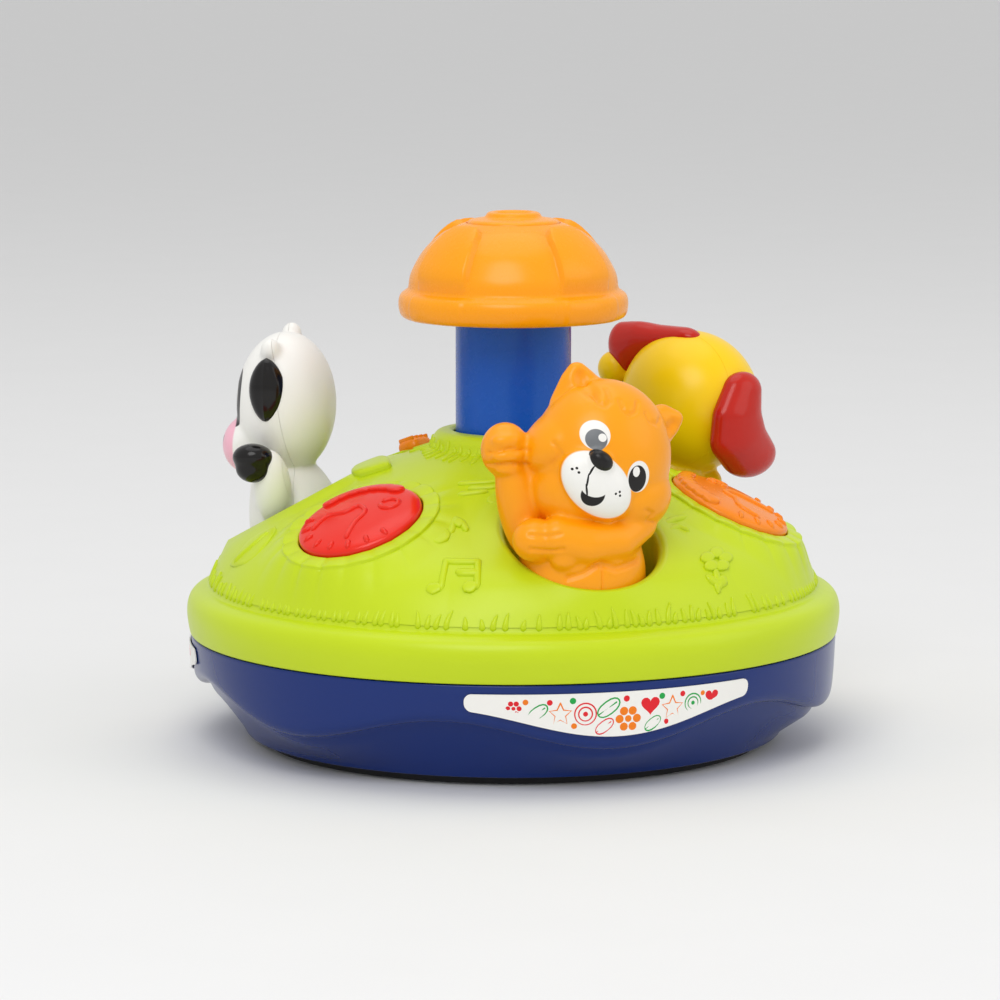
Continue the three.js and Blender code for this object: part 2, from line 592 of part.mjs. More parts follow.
const baseBody = without(
  joined(solid(revolved(skirtProfile, sides.shell)), solid(turned(hubProfile, sides.drive)),
    ...baseBosses, ...brackets, boxWalls, doorBoss, ...boardPegs, speakerWall),
  boxRoom, doorOpening, doorBore, ...baseBossBores, ...bracketBores, ...grilleSlots
)
add('base_shell', baseBody, bluePlastic)

// Dome cover

const wellSurfaceHeight = domeHeight(well.centreRadius)
const wellPoint = (turn, radius, rise) => {
  const point = new THREE.Vector3(radius * Math.cos(turn), radius * Math.sin(turn), rise)
  point.applyAxisAngle(new THREE.Vector3(1, 0, 0), degrees(well.tiltAngle))
  return point.add(new THREE.Vector3(0, -well.centreRadius, wellSurfaceHeight))
}
const lipPlaces = lipShares.map((share) => {
  const arc = share * Math.PI / 2
  return [
    well.crestRadius - well.lipRound * Math.sin(arc),
    -well.lipRound * (1 - Math.cos(arc))
  ]
})
const wellLoop = (placeAt) =>
  Array.from({ length: sides.large }, (_, i) => placeAt(fullTurn * i / sides.large))
const throatFoot = (turn, extra, z) => {
  const throat = wellPoint(turn, well.throatRadius + extra, -well.lipRound)
  return [throat.x, throat.y, z]
}
const wellRing = lofted(wellLoop((turn) => [
  ...moundShares.map(([out, down]) =>
    wellPoint(turn, well.crestRadius + out * well.mound, -down * well.moundDrop).toArray()),
  ...lipPlaces.map(([radius, rise]) => wellPoint(turn, radius, rise).toArray()),
  throatFoot(turn, 0, well.tubeBottom), throatFoot(turn, well.wall, well.tubeBottom),
  wellPoint(turn, well.throatRadius + well.wall, -wellShares.tube * well.lipRound).toArray()
]), true)
const wellCutter = (extra) => {
  const rings = [
    [well.crestRadius + extra, wellShares.cutterTop], [well.crestRadius + extra, -wellShares.cutterStep],
    [well.throatRadius, -wellShares.cutterFoot]
  ]
  const loops = rings.map(([radius, share]) =>
    wellLoop((turn) => wellPoint(turn, radius, share * well.lipRound).toArray()))
  return lofted(loops, false)
}

const domeProfile = (angle) => {
  const share = figureShare(angle)
  const shoulder = dome.shoulderRadius + dome.shoulderGrowth * share
  const flank = dome.flankRadius + dome.flankGrowth * share
  const flankHeight = dome.flankHeight - dome.flankDrop * share
  const lipInner = dome.waistRadius + dome.wall
  return [
    [dome.collarHole, dome.collarTop - dome.wall * domeShares.mouthDrop],
    [dome.collarHole + dome.wall * domeShares.mouth, dome.collarTop],
    [dome.collarCrest, dome.collarTop - dome.wall * domeShares.crestDrop],
    [dome.collarShoulder, dome.collarTop - dome.wall * domeShares.shoulderDrop],
    [dome.collarFoot, dome.collarFootHeight], [dome.upperRadius, dome.upperHeight],
    [shoulder, domeHeight(shoulder)], [flank, flankHeight], [dome.waistRadius, dome.waistHeight],
    [dome.waistRadius + dome.wall * domeShares.lipStep, dome.lipTop],
    [lipInner + dome.wall * domeShares.lipStep, dome.lipTop - dome.wall * domeShares.lipDrop],
    [dome.lipRadius - dome.wall * domeShares.lipSide, dome.lipTop - dome.wall],
    [dome.lipRadius, dome.lipWide],
    [dome.edgeRadius, seamHeight],
    [dome.edgeRadius - dome.wall, seamHeight], [dome.lipRadius - dome.wall, dome.lipWide],
    [dome.waistRadius - dome.wall, dome.lipTop - dome.wall],
    [flank - dome.wall, flankHeight - dome.wall * domeShares.flankInside],
    [shoulder - dome.wall * domeShares.shoulderInside, domeHeight(shoulder) - dome.wall],
    [dome.upperRadius, dome.upperHeight - dome.wall * domeShares.upperInside],
    [dome.collarHole, dome.collarFootHeight - dome.wall]
  ]
}

const buttonSeatHeight = domeHeight(button.centreRadius)
const buttonAzimuths = figureAzimuths.map((azimuth) => azimuth + buttonStepAngle)
const atButton = (geometry, azimuth) =>
  toSeat(geometry, button.centreRadius, buttonSeatHeight, button.tiltAngle, azimuth)
const sleeveHole = button.radius + sleeve.gap
const sleeveInner = sleeveHole + sleeve.ledge
const sleeveOuter = sleeveInner + sleeve.wall
const sleeveBottom = -sleeve.depth - sleeve.lipHeight
const sleeveShape = () => turned([
  [0, sleeveBottom], [sleeveOuter, sleeveBottom], [sleeveOuter, -petal.sink], [petal.radius, -petal.sink],
  [petal.radius, petal.height / 2], [petal.radius - petal.height, petal.height], [0, petal.height]
], sides.large)
const sleeveBore = () => turned([
  [0, sleeveBottom - overrun], [sleeveInner - sleeve.lipWidth, sleeveBottom - overrun],
  [sleeveInner - sleeve.lipWidth, -sleeve.depth], [sleeveInner, -sleeve.depth],
  [sleeveInner, -sleeve.ledgeDepth], [sleeveHole, -sleeve.ledgeDepth],
  [sleeveHole, button.crown + overrun], [0, button.crown + overrun]
], sides.large)

const sliderSlope = Math.atan2(
  dome.collarFootHeight - dome.upperHeight, dome.upperRadius - dome.collarFoot
)
const sliderSeatHeight = dome.upperHeight + (dome.upperRadius - slider.centreRadius) * Math.tan(sliderSlope)
const atSlider = (geometry) => toSeat(
  geometry, slider.centreRadius, sliderSeatHeight, THREE.MathUtils.radToDeg(sliderSlope), sliderAzimuth
)
const slotLength = slider.stemWidth + slider.travel + 2 * slider.slotGap
const slotShape = block(slotLength, slider.stemDepth + 2 * slider.slotGap, -2 * dome.wall, 2 * dome.wall)
  .translate(slider.travel / 2, 0, 0)
const switchTop = -slider.stemLength - runningGap
const switchPegs = [-1, 1].map((side) => solid(atSlider(
  rod(slideSwitch.pegRadius, switchTop + seatGap, -dome.wall / 2, sides.screw)
    .translate(slider.travel / 2 + side * slideSwitch.pegSpread, side * slideSwitch.pegOffset, 0)
)))
const domeBossBottom = webTop + seatGap
const domeBossTop = domeHeight(boss.ring + boss.radius) - dome.wall * domeShares.boss
const domeBosses = bossAzimuths.map((azimuth) =>
  solid(atBoss(rod(boss.radius, domeBossBottom, domeBossTop, sides.small), azimuth)))
const housingSeat = boss.webBottom - housingScrew.headHeight - seatGap
const screwEnd = housingSeat + housingScrew.length + seatGap
const domeBossBores = bossAzimuths.map((azimuth) => solid(atBoss(
  rod(housingScrew.boreRadius, domeBossBottom - overrun, screwEnd, sides.screw), azimuth
)))

let domeBody = solid(revolved(domeProfile, sides.shell))
for (const azimuth of figureAzimuths) {
  domeBody = without(domeBody, solid(toAzimuth(wellCutter(seatGap), azimuth)))
  domeBody = joined(domeBody, solid(toAzimuth(wellRing.clone(), azimuth)))
}
for (const azimuth of buttonAzimuths) {
  domeBody = joined(domeBody, solid(atButton(sleeveShape(), azimuth)))
  domeBody = without(domeBody, solid(atButton(sleeveBore(), azimuth)))
}
domeBody = joined(domeBody, ...switchPegs, ...domeBosses)
domeBody = without(domeBody, solid(atSlider(slotShape)), ...domeBossBores)
add('dome_cover', domeBody, limePlastic)

// Picture labels on the skirt

const skirtRadius = (z, angle) => {
  const lower = waveHeight(angle) + base.bulge * skirtShares.shoulder
  const share = (z - lower) / (base.top - lower)
  return base.topRadius - base.bulge * skirtShares.taper * (1 - share)
}
const labelShape = lofted(Array.from({ length: label.steps + 1 }, (_, i) => {
  const angle = degrees(bearAzimuth + label.halfAngle * (2 * i / label.steps - 1))
  const low = waveHeight(angle) + label.edgeRise
  const corner = (z, extra) => {
    const r = skirtRadius(z, angle) + label.gap + extra
    return [r * Math.cos(angle), r * Math.sin(angle), z]
  }
  const thick = label.thickness
  return [corner(low, 0), corner(low, thick), corner(label.top, thick), corner(label.top, 0)]
}), false)
figureAzimuths.forEach((azimuth, i) =>
  add(`label_${figureNames[i]}`, toAzimuth(labelShape.clone(), azimuth), labelFilm))

// Buttons, pads and light boards

const skirtBottom = -sleeve.ledgeDepth - seatGap - button.flangeHeight
const buttonShape = () => turned([
  [button.radius - button.wall, skirtBottom], [button.radius + button.flangeWidth, skirtBottom],
  [button.radius + button.flangeWidth, skirtBottom + button.flangeHeight],
  [button.radius, skirtBottom + button.flangeHeight], [button.radius, button.edgeHeight],
  ...buttonShares.crown.map(([out, up]) =>
    [button.radius * out, button.edgeHeight + (button.crown - button.edgeHeight) * up]),
  [0, button.crown], [0, button.crown - button.wall],
  [button.radius - button.wall, button.edgeHeight - button.wall * buttonShares.innerDrop],
  [button.radius - button.wall, skirtBottom]
], sides.large)
const boardTop = -sleeve.depth + lightBoard.thickness + seatGap
const padShape = () =>
  ring(pad.outer - pad.wall, pad.outer, boardTop + seatGap, skirtBottom - seatGap, sides.large)
const boardShape = () => joined(
  solid(rod(sleeveInner - seatGap, boardTop - lightBoard.thickness, boardTop, sides.large)),
  ...[-1, 1].map((side) => solid(
    rod(lightBoard.lampRadius, boardTop - seatGap, boardTop + lightBoard.lampHeight, sides.bore)
      .translate(side * lightBoard.lampSpread, 0, 0)
  ))
)
const buttonMaterials = [orangePlastic, purplePlastic, redPlastic]
buttonAzimuths.forEach((azimuth, i) => {
  add(`${buttonNames[i]}_button`, atButton(buttonShape(), azimuth), buttonMaterials[i])
  add(`${buttonNames[i]}_pad`, atButton(padShape(), azimuth), rubber)
  add(`${buttonNames[i]}_light_board`, atButton(geometryOf(boardShape()), azimuth), boardGreen)
})

// Power slider and switch

const knobBottom = seatGap
const knobTop = knobBottom + slider.height
const knobRibs = Array.from({ length: slider.ribs }, (_, i) => solid(
  block(slider.ribWidth, slider.depth, knobTop - seatGap, knobTop + slider.ribHeight)
    .translate((i - (slider.ribs - 1) / 2) * slider.width / slider.ribs, 0, 0)
))
const sliderBody = joined(
  solid(block(slider.width, slider.depth, knobBottom, knobTop)),
  solid(block(slider.stemWidth, slider.stemDepth, -slider.stemLength, knobBottom + overrun)),
  ...knobRibs
)
add('power_slider', atSlider(geometryOf(sliderBody)), redPlastic)
add('slide_switch', atSlider(block(
  slideSwitch.width, slideSwitch.depth, switchTop - slideSwitch.height, switchTop
).translate(slider.travel / 2, 0, 0)), greyPlastic)

// Fasteners, battery, board, speaker and leads

bossAzimuths.forEach((azimuth, i) => add(`housing_screw_${i + 1}`, atBoss(
  screw(housingScrew.shankRadius, housingScrew.headRadius, housingScrew.headHeight, housingScrew.length)
    .translate(0, 0, housingSeat), azimuth
), steel))
const doorTop = base.floorBottom + door.thickness
const doorHeadTop = base.floorBottom + doorScrew.headHeight
const doorBody = without(
  joined(
    solid(atBox(block(
      2 * (openingHalfWidth - seatGap), 2 * (openingHalfDepth - seatGap), base.floorBottom, doorTop
    ))),
    solid(rod(door.tabRadius, base.floorBottom, doorTop, sides.medium).translate(0, door.tabCentre, 0))
  ),
  solid(rod(doorScrew.boreRadius, base.floorBottom - overrun, doorTop + overrun, sides.bore)
    .translate(0, door.tabCentre, 0)),
  solid(rod(doorScrew.headRadius + seatGap, base.floorBottom - overrun, doorHeadTop, sides.medium)
    .translate(0, door.tabCentre, 0))
)
add('battery_door', doorBody, bluePlastic)
add('battery_door_screw', screw(
  doorScrew.shankRadius, doorScrew.headRadius, doorScrew.headHeight - seatGap, doorScrew.length
).translate(0, door.tabCentre, base.floorBottom), steel)
const cellHeight = base.floorTop + cell.radius + seatGap
for (let i = 0; i < cell.count; i++) {
  const half = cell.length / 2
  const side = i % 2 ? -1 : 1
  const shape = turned([
    [0, -half], [cell.radius, -half], [cell.radius, half - cell.nubLength],
    [cell.nubRadius, half - cell.nubLength], [cell.nubRadius, half], [0, half]
  ], sides.medium).rotateY(side * Math.PI / 2)
  const place = (i - (cell.count - 1) / 2) * cell.pitch
  add(`battery_${i + 1}`, shape.translate(0, box.centre + place, cellHeight), cellSleeve)
}
const soundTop = board.bottom + board.thickness
const boardBody = joined(
  solid(block(board.width, board.depth, board.bottom, soundTop)),
  solid(rod(chip.radius, soundTop - seatGap, soundTop + chip.height, sides.medium)),
  ...[-1, 1].map((side) => solid(
    rod(chip.canRadius, soundTop - seatGap, soundTop + chip.canHeight, sides.small)
      .translate(side * chip.canSpread, 0, 0)
  ))
)
add('sound_board', atBoard(geometryOf(boardBody)), boardGreen)
const speakerBottom = base.floorTop + seatGap
add('speaker', atSpeaker(turned([
  [0, speakerBottom], [speaker.flangeRadius, speakerBottom],
  [speaker.flangeRadius, speakerBottom + speaker.flangeHeight],
  [speaker.coneRadius, speakerBottom + speaker.flangeHeight],
  [speaker.magnetRadius, speakerBottom + speaker.coneHeight],
  [speaker.magnetRadius, speakerBottom + speaker.height], [0, speakerBottom + speaker.height]
], sides.large)), leadSleeve)

const placeOf = (radius, azimuth, z) => new THREE.Vector3(
  radius * Math.cos(degrees(azimuth)), radius * Math.sin(degrees(azimuth)), z
)
const leadBetween = (start, end) => {
  const lift = new THREE.Vector3(0, 0, lead.lift)
  const middleAzimuth = THREE.MathUtils.radToDeg(Math.atan2(start.y + end.y, start.x + end.x))
  const middle = placeOf(lead.middleRadius, middleAzimuth, Math.max(start.z, end.z) + lead.rise)
  const [rise, fall] = [start.clone().add(lift), end.clone().add(lift)]
  const curve = new THREE.CatmullRomCurve3([start, rise, middle, fall, end])
  return tubeAlong((share) => curve.getPoint(share), lead.steps, lead.radius, lead.sides)
}
const boardFace = soundTop + seatGap
const boardPoint = (share) => new THREE.Vector3(share * board.width, -board.centreRadius, boardFace)
  .applyAxisAngle(new THREE.Vector3(0, 0, 1), degrees(boardAzimuth - bearAzimuth))
const boxPoint = new THREE.Vector3(-box.innerHalfWidth / 2, box.centre, boxTop + box.roof + seatGap)
const speakerPoint = placeOf(speaker.centreRadius, speakerAzimuth, speakerBottom + speaker.height + seatGap)
add('battery_lead', leadBetween(boxPoint, boardPoint(lead.boardShares[0])), leadSleeve)
add('speaker_lead', leadBetween(speakerPoint, boardPoint(lead.boardShares[1])), leadSleeve)

// Figures

const figureMaterials = { bear: orangePlastic, dog: yellowPlastic, cow: whitePlastic }
// Each entry: centre, half sizes and roll to the viewer's right, in shares of the height above the pin
const figureShares = {
  bear: {
    head: [[0.044, -0.122, 0.633], [0.244, 0.228, 0.278], 10],
    front: {
      muzzle: [[-0.033, -0.3, 0.578], [0.133, 0.067, 0.106], 42],
      raisedPaw: [[-0.293, -0.089, 0.672], [0.084, 0.082, 0.096], 0],
      raisedArm: [[-0.239, -0.1, 0.467], [0.072, 0.072, 0.189], -15],
      foldedArm: [[-0.006, -0.211, 0.367], [0.211, 0.075, 0.075], 0],
      hand: [[-0.156, -0.222, 0.372], [0.083, 0.078, 0.078], 0]
    },
    back: {
      leftEar: [[-0.026, -0.074, 0.889], [0.089, 0.044, 0.094], 0],
      rightEar: [[0.278, -0.1, 0.722], [0.083, 0.044, 0.089], 0]
    }
  },
  dog: {
    head: [[-0.089, -0.178, 0.667], [0.25, 0.217, 0.267], -15],
    front: {
      muzzle: [[-0.067, -0.389, 0.589], [0.111, 0.1, 0.089], -15],
      raisedPaw: [[0.239, -0.1, 0.773], [0.06, 0.06, 0.067], 0],
      raisedArm: [[0.222, -0.1, 0.5], [0.067, 0.067, 0.256], 5],
      foldedArm: [[0.006, -0.211, 0.367], [0.211, 0.075, 0.075], 0],
      hand: [[0.15, -0.222, 0.372], [0.078, 0.078, 0.075], 0]
    },
    back: {
      leftEar: [[-0.322, -0.178, 0.587], [0.078, 0.133, 0.189], 8],
      rightEar: [[0.05, -0.145, 0.878], [0.172, 0.072, 0.089], -10]
    }
  },
  cow: {
    head: [[0.011, -0.122, 0.711], [0.211, 0.183, 0.267], 0],
    front: {
      muzzle: [[0.011, -0.267, 0.556], [0.144, 0.1, 0.111], 0],
      raisedPaw: [[0.278, -0.178, 0.522], [0.072, 0.075, 0.078], 0],
      raisedArm: [[0.222, -0.117, 0.433], [0.064, 0.067, 0.133], 24],
      foldedArm: [[-0.006, -0.211, 0.367], [0.211, 0.075, 0.075], 0],
      hand: [[-0.15, -0.222, 0.372], [0.078, 0.078, 0.075], 0]
    },
    back: {
      leftEar: [[-0.2, -0.144, 0.8], [0.045, 0.067, 0.117], -8],
      rightEar: [[0.217, -0.144, 0.8], [0.045, 0.067, 0.117], 8],
      leftHorn: [[-0.061, -0.1, 0.967], [0.029, 0.029, 0.05], 0],
      rightHorn: [[0.072, -0.1, 0.967], [0.029, 0.029, 0.05], 0]
    }
  }
}
const trunkShares = [[-0.055, 0.183], [0.089, 0.217], [0.222, 0.228], [0.333, 0.2], [0.5, 0.122]]
const leanSlope = Math.tan(degrees(figure.leanAngle))
const trunk = (inset, count) => solid(lofted(trunkShares.map(([rise, radius], i) => {
  const z = rise * figure.height + (i ? 0 : inset)
  const r = radius * figure.height - inset
  return Array.from({ length: count }, (_, j) => {
    const turn = fullTurn * j / count
    return [r * Math.cos(turn), r * figure.squashShare * Math.sin(turn) - z * leanSlope, z]
  })
}), false))
const bulge = ([centre, half, roll], inset, count, rings) =>
  solid(ball(half.map((share) => share * figure.height - inset), count, rings)
    .rotateY(degrees(roll)).translate(...centre.map((share) => share * figure.height)))
const smallBulges = (entries, inset) =>
  joined(...Object.values(entries).map((entry) => bulge(entry, inset, figure.smallSides, figure.smallRings)))
// Arms and muzzle are moulded with the front half, ears and horns with the back half.
const figureHalves = ({ head, front, back }) => {
  const core = joined(trunk(0, figure.sides), bulge(head, 0, figure.sides, figure.rings))
  const hollow = joined(
    trunk(figure.wall, figure.smallSides), bulge(head, figure.wall, figure.smallSides, figure.smallRings)
  )
  const reach = 2 * figure.height
  const halfSpace = (side) => solid(block(reach, reach, -reach, reach)
    .translate(0, side * (reach + figure.partingGap) / 2, 0).rotateX(degrees(figure.leanAngle)))
  const pinBore = solid(rod(pivot.pinRadius + pivot.pinGap, -reach, reach, sides.bore).rotateY(Math.PI / 2))
  const frontHalf = joined(
    without(core.intersect(halfSpace(-1)), smallBulges(back, -figure.partingGap)), smallBulges(front, 0)
  )
  const backHalf = joined(core.intersect(halfSpace(1)), smallBulges(back, 0))
  return [
    without(frontHalf, hollow, pinBore),
    without(backHalf, smallBulges(front, -figure.partingGap), hollow, pinBore)
  ]
}
const atPivot = (geometry, azimuth) => toAzimuth(geometry.translate(0, -pivot.radius, pivot.height), azimuth)
const coilLength = coil.turns * coil.pitch
const coilShape = () => tubeAlong((share) => new THREE.Vector3(
  coil.radius * Math.cos(fullTurn * share * coil.turns),
  coil.radius * Math.sin(fullTurn * share * coil.turns),
  share * coilLength
), coil.turns * coil.stepsPerTurn, coil.wire, coil.wireSides).rotateY(Math.PI / 2)
  .translate(bracket.inner - coilLength - coil.wire - seatGap, 0, 0)
figureAzimuths.forEach((azimuth, i) => {
  const name = figureNames[i]
  const [front, back] = figureHalves(figureShares[name])
  add(`${name}_front`, atPivot(geometryOf(front), azimuth), figureMaterials[name])
  add(`${name}_back`, atPivot(geometryOf(back), azimuth), figureMaterials[name])
  add(`${name}_pin`, toAzimuth(pinShape(pivot.pinRadius, pivot.pinHalfLength), azimuth), steel)
  add(`${name}_spring`, atPivot(coilShape(), azimuth), steel)
})

// Cap

const capLobe = (angle) => {
  const pitch = 360 / cap.lobes
  const from = THREE.MathUtils.euclideanModulo(
    THREE.MathUtils.radToDeg(angle) - cap.lobeAzimuth + pitch / 2, pitch
  ) - pitch / 2
  const inward = 1 - Math.abs(from) / cap.lobeHalfAngle
  return cap.lobeRise * THREE.MathUtils.clamp(inward / cap.lobeRampShare, 0, 1)
}
const beadHeight = cap.beadTop - cap.beadBottom
const capHeight = cap.crownTop - cap.beadTop
const capInner = cap.beadRadius - cap.wall
const crownFloor = cap.crownTop - crown.height
const capProfile = (angle) => {
  const lobe = capLobe(angle)
  return [
    ...beadShares.map(([out, up]) => [cap.beadRadius * out, cap.beadBottom + beadHeight * up]),
    [cap.domeRadius + (cap.beadRadius - cap.domeRadius) / 4, cap.beadTop],
    ...skinShares.map(([out, up, rise]) =>
      [cap.domeRadius * out + lobe * rise, cap.beadTop + capHeight * up]),
    [cap.crownRadius + seatGap, cap.crownTop], [cap.crownRadius + seatGap, crownFloor],
    [crown.plugRadius, crownFloor], [crown.plugRadius, crownFloor - cap.wall],
    ...capInsideShares.map(([out, up]) => [cap.domeRadius * out - cap.wall, cap.beadTop + capHeight * up]),
    [cap.domeRadius - cap.wall, cap.beadTop], [capInner, cap.beadTop - cap.wall],
    [capInner - cap.wall / 2, cap.beadBottom]
  ]
}
const undersideTop = column.top - column.flangeHeight - seatGap
const undersideBottom = undersideTop - underside.thickness
const undersideRadius = capInner - cap.wall / 2 - underside.edgeGap
const atCapScrew = (geometry, i) =>
  geometry.translate(cap.bossRing, 0, 0).rotateZ(fullTurn * (i + capScrew.turnShare) / capScrew.count)
const capScrewIndices = Array.from({ length: capScrew.count }, (_, i) => i)
const capBossTop = cap.beadTop + capHeight * cap.bossShare
const capBosses = capScrewIndices.map((i) =>
  solid(atCapScrew(rod(cap.bossRadius, undersideTop + seatGap, capBossTop, sides.small), i)))
const capScrewEnd = undersideBottom + capScrew.length + seatGap
const capBores = capScrewIndices.map((i) =>
  solid(atCapScrew(rod(capScrew.boreRadius, undersideTop - overrun, capScrewEnd, sides.bore), i)))
const pressTube = solid(ring(
  column.inner - cap.wall, column.inner, column.top + seatGap, crownFloor - cap.wall / 2, sides.medium
))
const capSkin = solid(revolved(capProfile, sides.shell))
add('cap_shell', without(joined(capSkin, pressTube, ...capBosses), ...capBores), orangePlastic)
const crownSeat = crownFloor + seatGap
const crownMiddle = cap.crownTop + crown.slope * crownShares.middle
add('cap_crown', turned([
  [0, crownSeat], [cap.crownRadius, crownSeat],
  [cap.crownRadius, cap.crownTop - crown.slope * crownShares.edge],
  [cap.crownRadius - crown.slope * crownShares.bevel, cap.crownTop + crown.slope * crownShares.bevelRise],
  [crown.ringRadius + crown.ringWidth / 2, cap.crownTop + crown.slope],
  [crown.ringRadius, cap.crownTop + crown.ringRise],
  [crown.ringRadius - crown.ringWidth, cap.crownTop + crown.ringRise],
  [crown.ringRadius - crown.ringWidth * crownShares.ringStep, crownMiddle], [0, crownMiddle]
], sides.drive), orangePlastic)
add('cap_underside', without(
  solid(ring(column.radius + runningGap, undersideRadius, undersideBottom, undersideTop, sides.shell)),
  ...capScrewIndices.map((i) => solid(atCapScrew(
    rod(capScrew.boreRadius, undersideBottom - overrun, undersideTop + overrun, sides.bore), i
  )))
), orangePlastic)
capScrewIndices.forEach((i) => add(`cap_screw_${i + 1}`, atCapScrew(
  screw(capScrew.shankRadius, capScrew.headRadius, capScrew.headHeight, capScrew.length)
    .translate(0, 0, undersideBottom - capScrew.headHeight - seatGap), i
), steel))

export default top
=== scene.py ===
"""Looks of a press-to-spin activity top: moulded skins, printed labels, animal figures and the stage."""
import json
import math
import random

import bmesh
import bpy
import numpy as np
from mathutils import Matrix, Vector


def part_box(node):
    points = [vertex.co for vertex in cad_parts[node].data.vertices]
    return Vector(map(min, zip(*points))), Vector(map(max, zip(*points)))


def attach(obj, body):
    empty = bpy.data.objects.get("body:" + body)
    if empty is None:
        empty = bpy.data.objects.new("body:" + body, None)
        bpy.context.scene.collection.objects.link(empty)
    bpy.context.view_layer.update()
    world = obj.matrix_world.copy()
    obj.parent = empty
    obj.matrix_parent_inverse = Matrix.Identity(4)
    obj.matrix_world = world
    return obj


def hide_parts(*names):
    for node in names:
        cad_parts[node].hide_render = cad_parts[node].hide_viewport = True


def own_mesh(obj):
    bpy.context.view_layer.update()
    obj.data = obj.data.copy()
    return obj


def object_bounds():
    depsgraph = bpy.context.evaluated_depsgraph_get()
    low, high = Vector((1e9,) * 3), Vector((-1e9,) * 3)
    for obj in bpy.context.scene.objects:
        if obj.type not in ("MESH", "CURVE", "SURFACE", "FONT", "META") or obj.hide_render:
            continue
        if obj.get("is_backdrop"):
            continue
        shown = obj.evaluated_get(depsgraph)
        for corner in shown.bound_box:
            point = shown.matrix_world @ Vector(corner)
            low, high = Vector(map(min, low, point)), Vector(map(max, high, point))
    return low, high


bl_info = {
    "name": "Activity top builder",
    "version": (1, 0, 0),
    "blender": (4, 5, 0),
    "location": "View3D > Sidebar > Activity top",
    "description": "Builds the looks of a press-to-spin activity top around its packed frame",
    "category": "Object",
}

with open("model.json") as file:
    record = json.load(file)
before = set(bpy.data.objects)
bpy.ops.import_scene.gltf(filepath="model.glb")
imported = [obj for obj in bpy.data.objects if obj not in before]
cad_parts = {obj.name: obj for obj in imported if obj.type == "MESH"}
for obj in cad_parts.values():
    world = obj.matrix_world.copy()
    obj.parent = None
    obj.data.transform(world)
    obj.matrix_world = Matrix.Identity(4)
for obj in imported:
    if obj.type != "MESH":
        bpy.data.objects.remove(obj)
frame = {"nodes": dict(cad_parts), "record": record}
CAD_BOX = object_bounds()

# Places, in degrees of azimuth about the column
FIGURES = {"bear": -90, "dog": 30, "cow": 150}
BUTTONS = {"orange": -30, "purple": 90, "red": 210}
SLIDER_AZIMUTH = 120
SPEAKER_AZIMUTH = -30
BOARD_AZIMUTH = -150
BOSS_AZIMUTHS = (0, 120, 240)
LOOK_AZIMUTH = -90
FULL_TURN = 2 * math.pi
MM = 0.001

# Camera of the photograph
CAMERA_DISTANCE = 1.5066
CAMERA_AZIMUTH = -17.6
CAMERA_ELEVATION = 8.05
CAMERA_SIDE = -0.00439
CAMERA_HEIGHT = 0.07857
CAMERA_LENS = 164.2
CAMERA_SENSOR = 36

# Largest angles between faces that are still shaded smoothly, in degrees
FILM_SMOOTH = 30
EDGE_SMOOTH = 35
DOME_SMOOTH = 50
FORM_SMOOTH = 60


class TopSizes(bpy.types.PropertyGroup):
    """Sizes that a user may change"""
    facets: bpy.props.IntProperty(
        name="Facets", description="Facets round the largest circles", default=192, min=48, max=512)
    voxel: bpy.props.FloatProperty(
        name="Form grain", description="Voxel size of the figures",
        default=0.0007, unit="LENGTH", precision=5)
    relief: bpy.props.FloatProperty(
        name="Relief height", description="How far the moulded pictures stand out of the dome",
        default=0.0009, unit="LENGTH", precision=5)
    grass: bpy.props.IntProperty(
        name="Grass blades", description="Blades of grass round the dome", default=210, min=20, max=400)
    petals: bpy.props.IntProperty(
        name="Petals", description="Raised segments round each button", default=18, min=6, max=48)
    prints: bpy.props.FloatProperty(
        name="Print height", description="Thickness of the printed ink on the labels",
        default=0.00006, unit="LENGTH", precision=6)
    floor: bpy.props.FloatProperty(
        name="Floor size", description="Side of the floor", default=40.0, unit="LENGTH")


def colour_property(name, description, default):
    return bpy.props.FloatVectorProperty(
        name=name, description=description, subtype="COLOR", size=3, min=0, max=1, default=default)


class TopColours(bpy.types.PropertyGroup):
    """Colours of the plastics and paints"""
    orange: colour_property("Orange", "Cap and bear", (0.93, 0.34, 0.002))
    deep_orange: colour_property("Deep orange", "Orange button and slider", (0.88, 0.24, 0.004))
    blue: colour_property("Blue", "Column", (0.001, 0.085, 0.52))
    deep_blue: colour_property("Deep blue", "Base", (0.003, 0.022, 0.155))
    lime: colour_property("Lime", "Dome", (0.52, 0.66, 0.008))
    red: colour_property("Red", "Red button", (0.78, 0.02, 0.008))
    purple: colour_property("Purple", "Purple button", (0.45, 0.22, 0.62))
    yellow: colour_property("Yellow", "Dog", (0.92, 0.6, 0.002))
    dark_red: colour_property("Dark red", "Ears of the dog", (0.5, 0.014, 0.006))
    white: colour_property("White", "Cow and labels", (0.86, 0.85, 0.81))
    # Black also colours the sheet of painted shade in the power slider's slot
    black: colour_property("Black", "Painted black", (0.008, 0.007, 0.007))
    pink: colour_property("Pink", "Muzzle of the cow", (0.87, 0.46, 0.56))
    nylon: colour_property("Nylon", "Running parts", (0.72, 0.71, 0.66))
    grey: colour_property("Grey", "Foot and post", (0.16, 0.17, 0.18))
    steel: colour_property("Steel", "Screws and springs", (0.6, 0.61, 0.63))
    rubber: colour_property("Rubber", "Grip ring and pads", (0.03, 0.03, 0.032))
    board: colour_property("Board green", "Printed circuit boards", (0.02, 0.17, 0.05))
    ink_red: colour_property("Red ink", "Motifs on the labels", (0.72, 0.01, 0.02))
    ink_green: colour_property("Green ink", "Motifs on the labels", (0.01, 0.35, 0.06))
    ink_orange: colour_property("Orange ink", "Motifs on the labels", (0.85, 0.2, 0.005))
    floor: colour_property("Floor", "Pale floor", (0.78, 0.78, 0.78))


def sizes():
    return bpy.context.scene.top_sizes


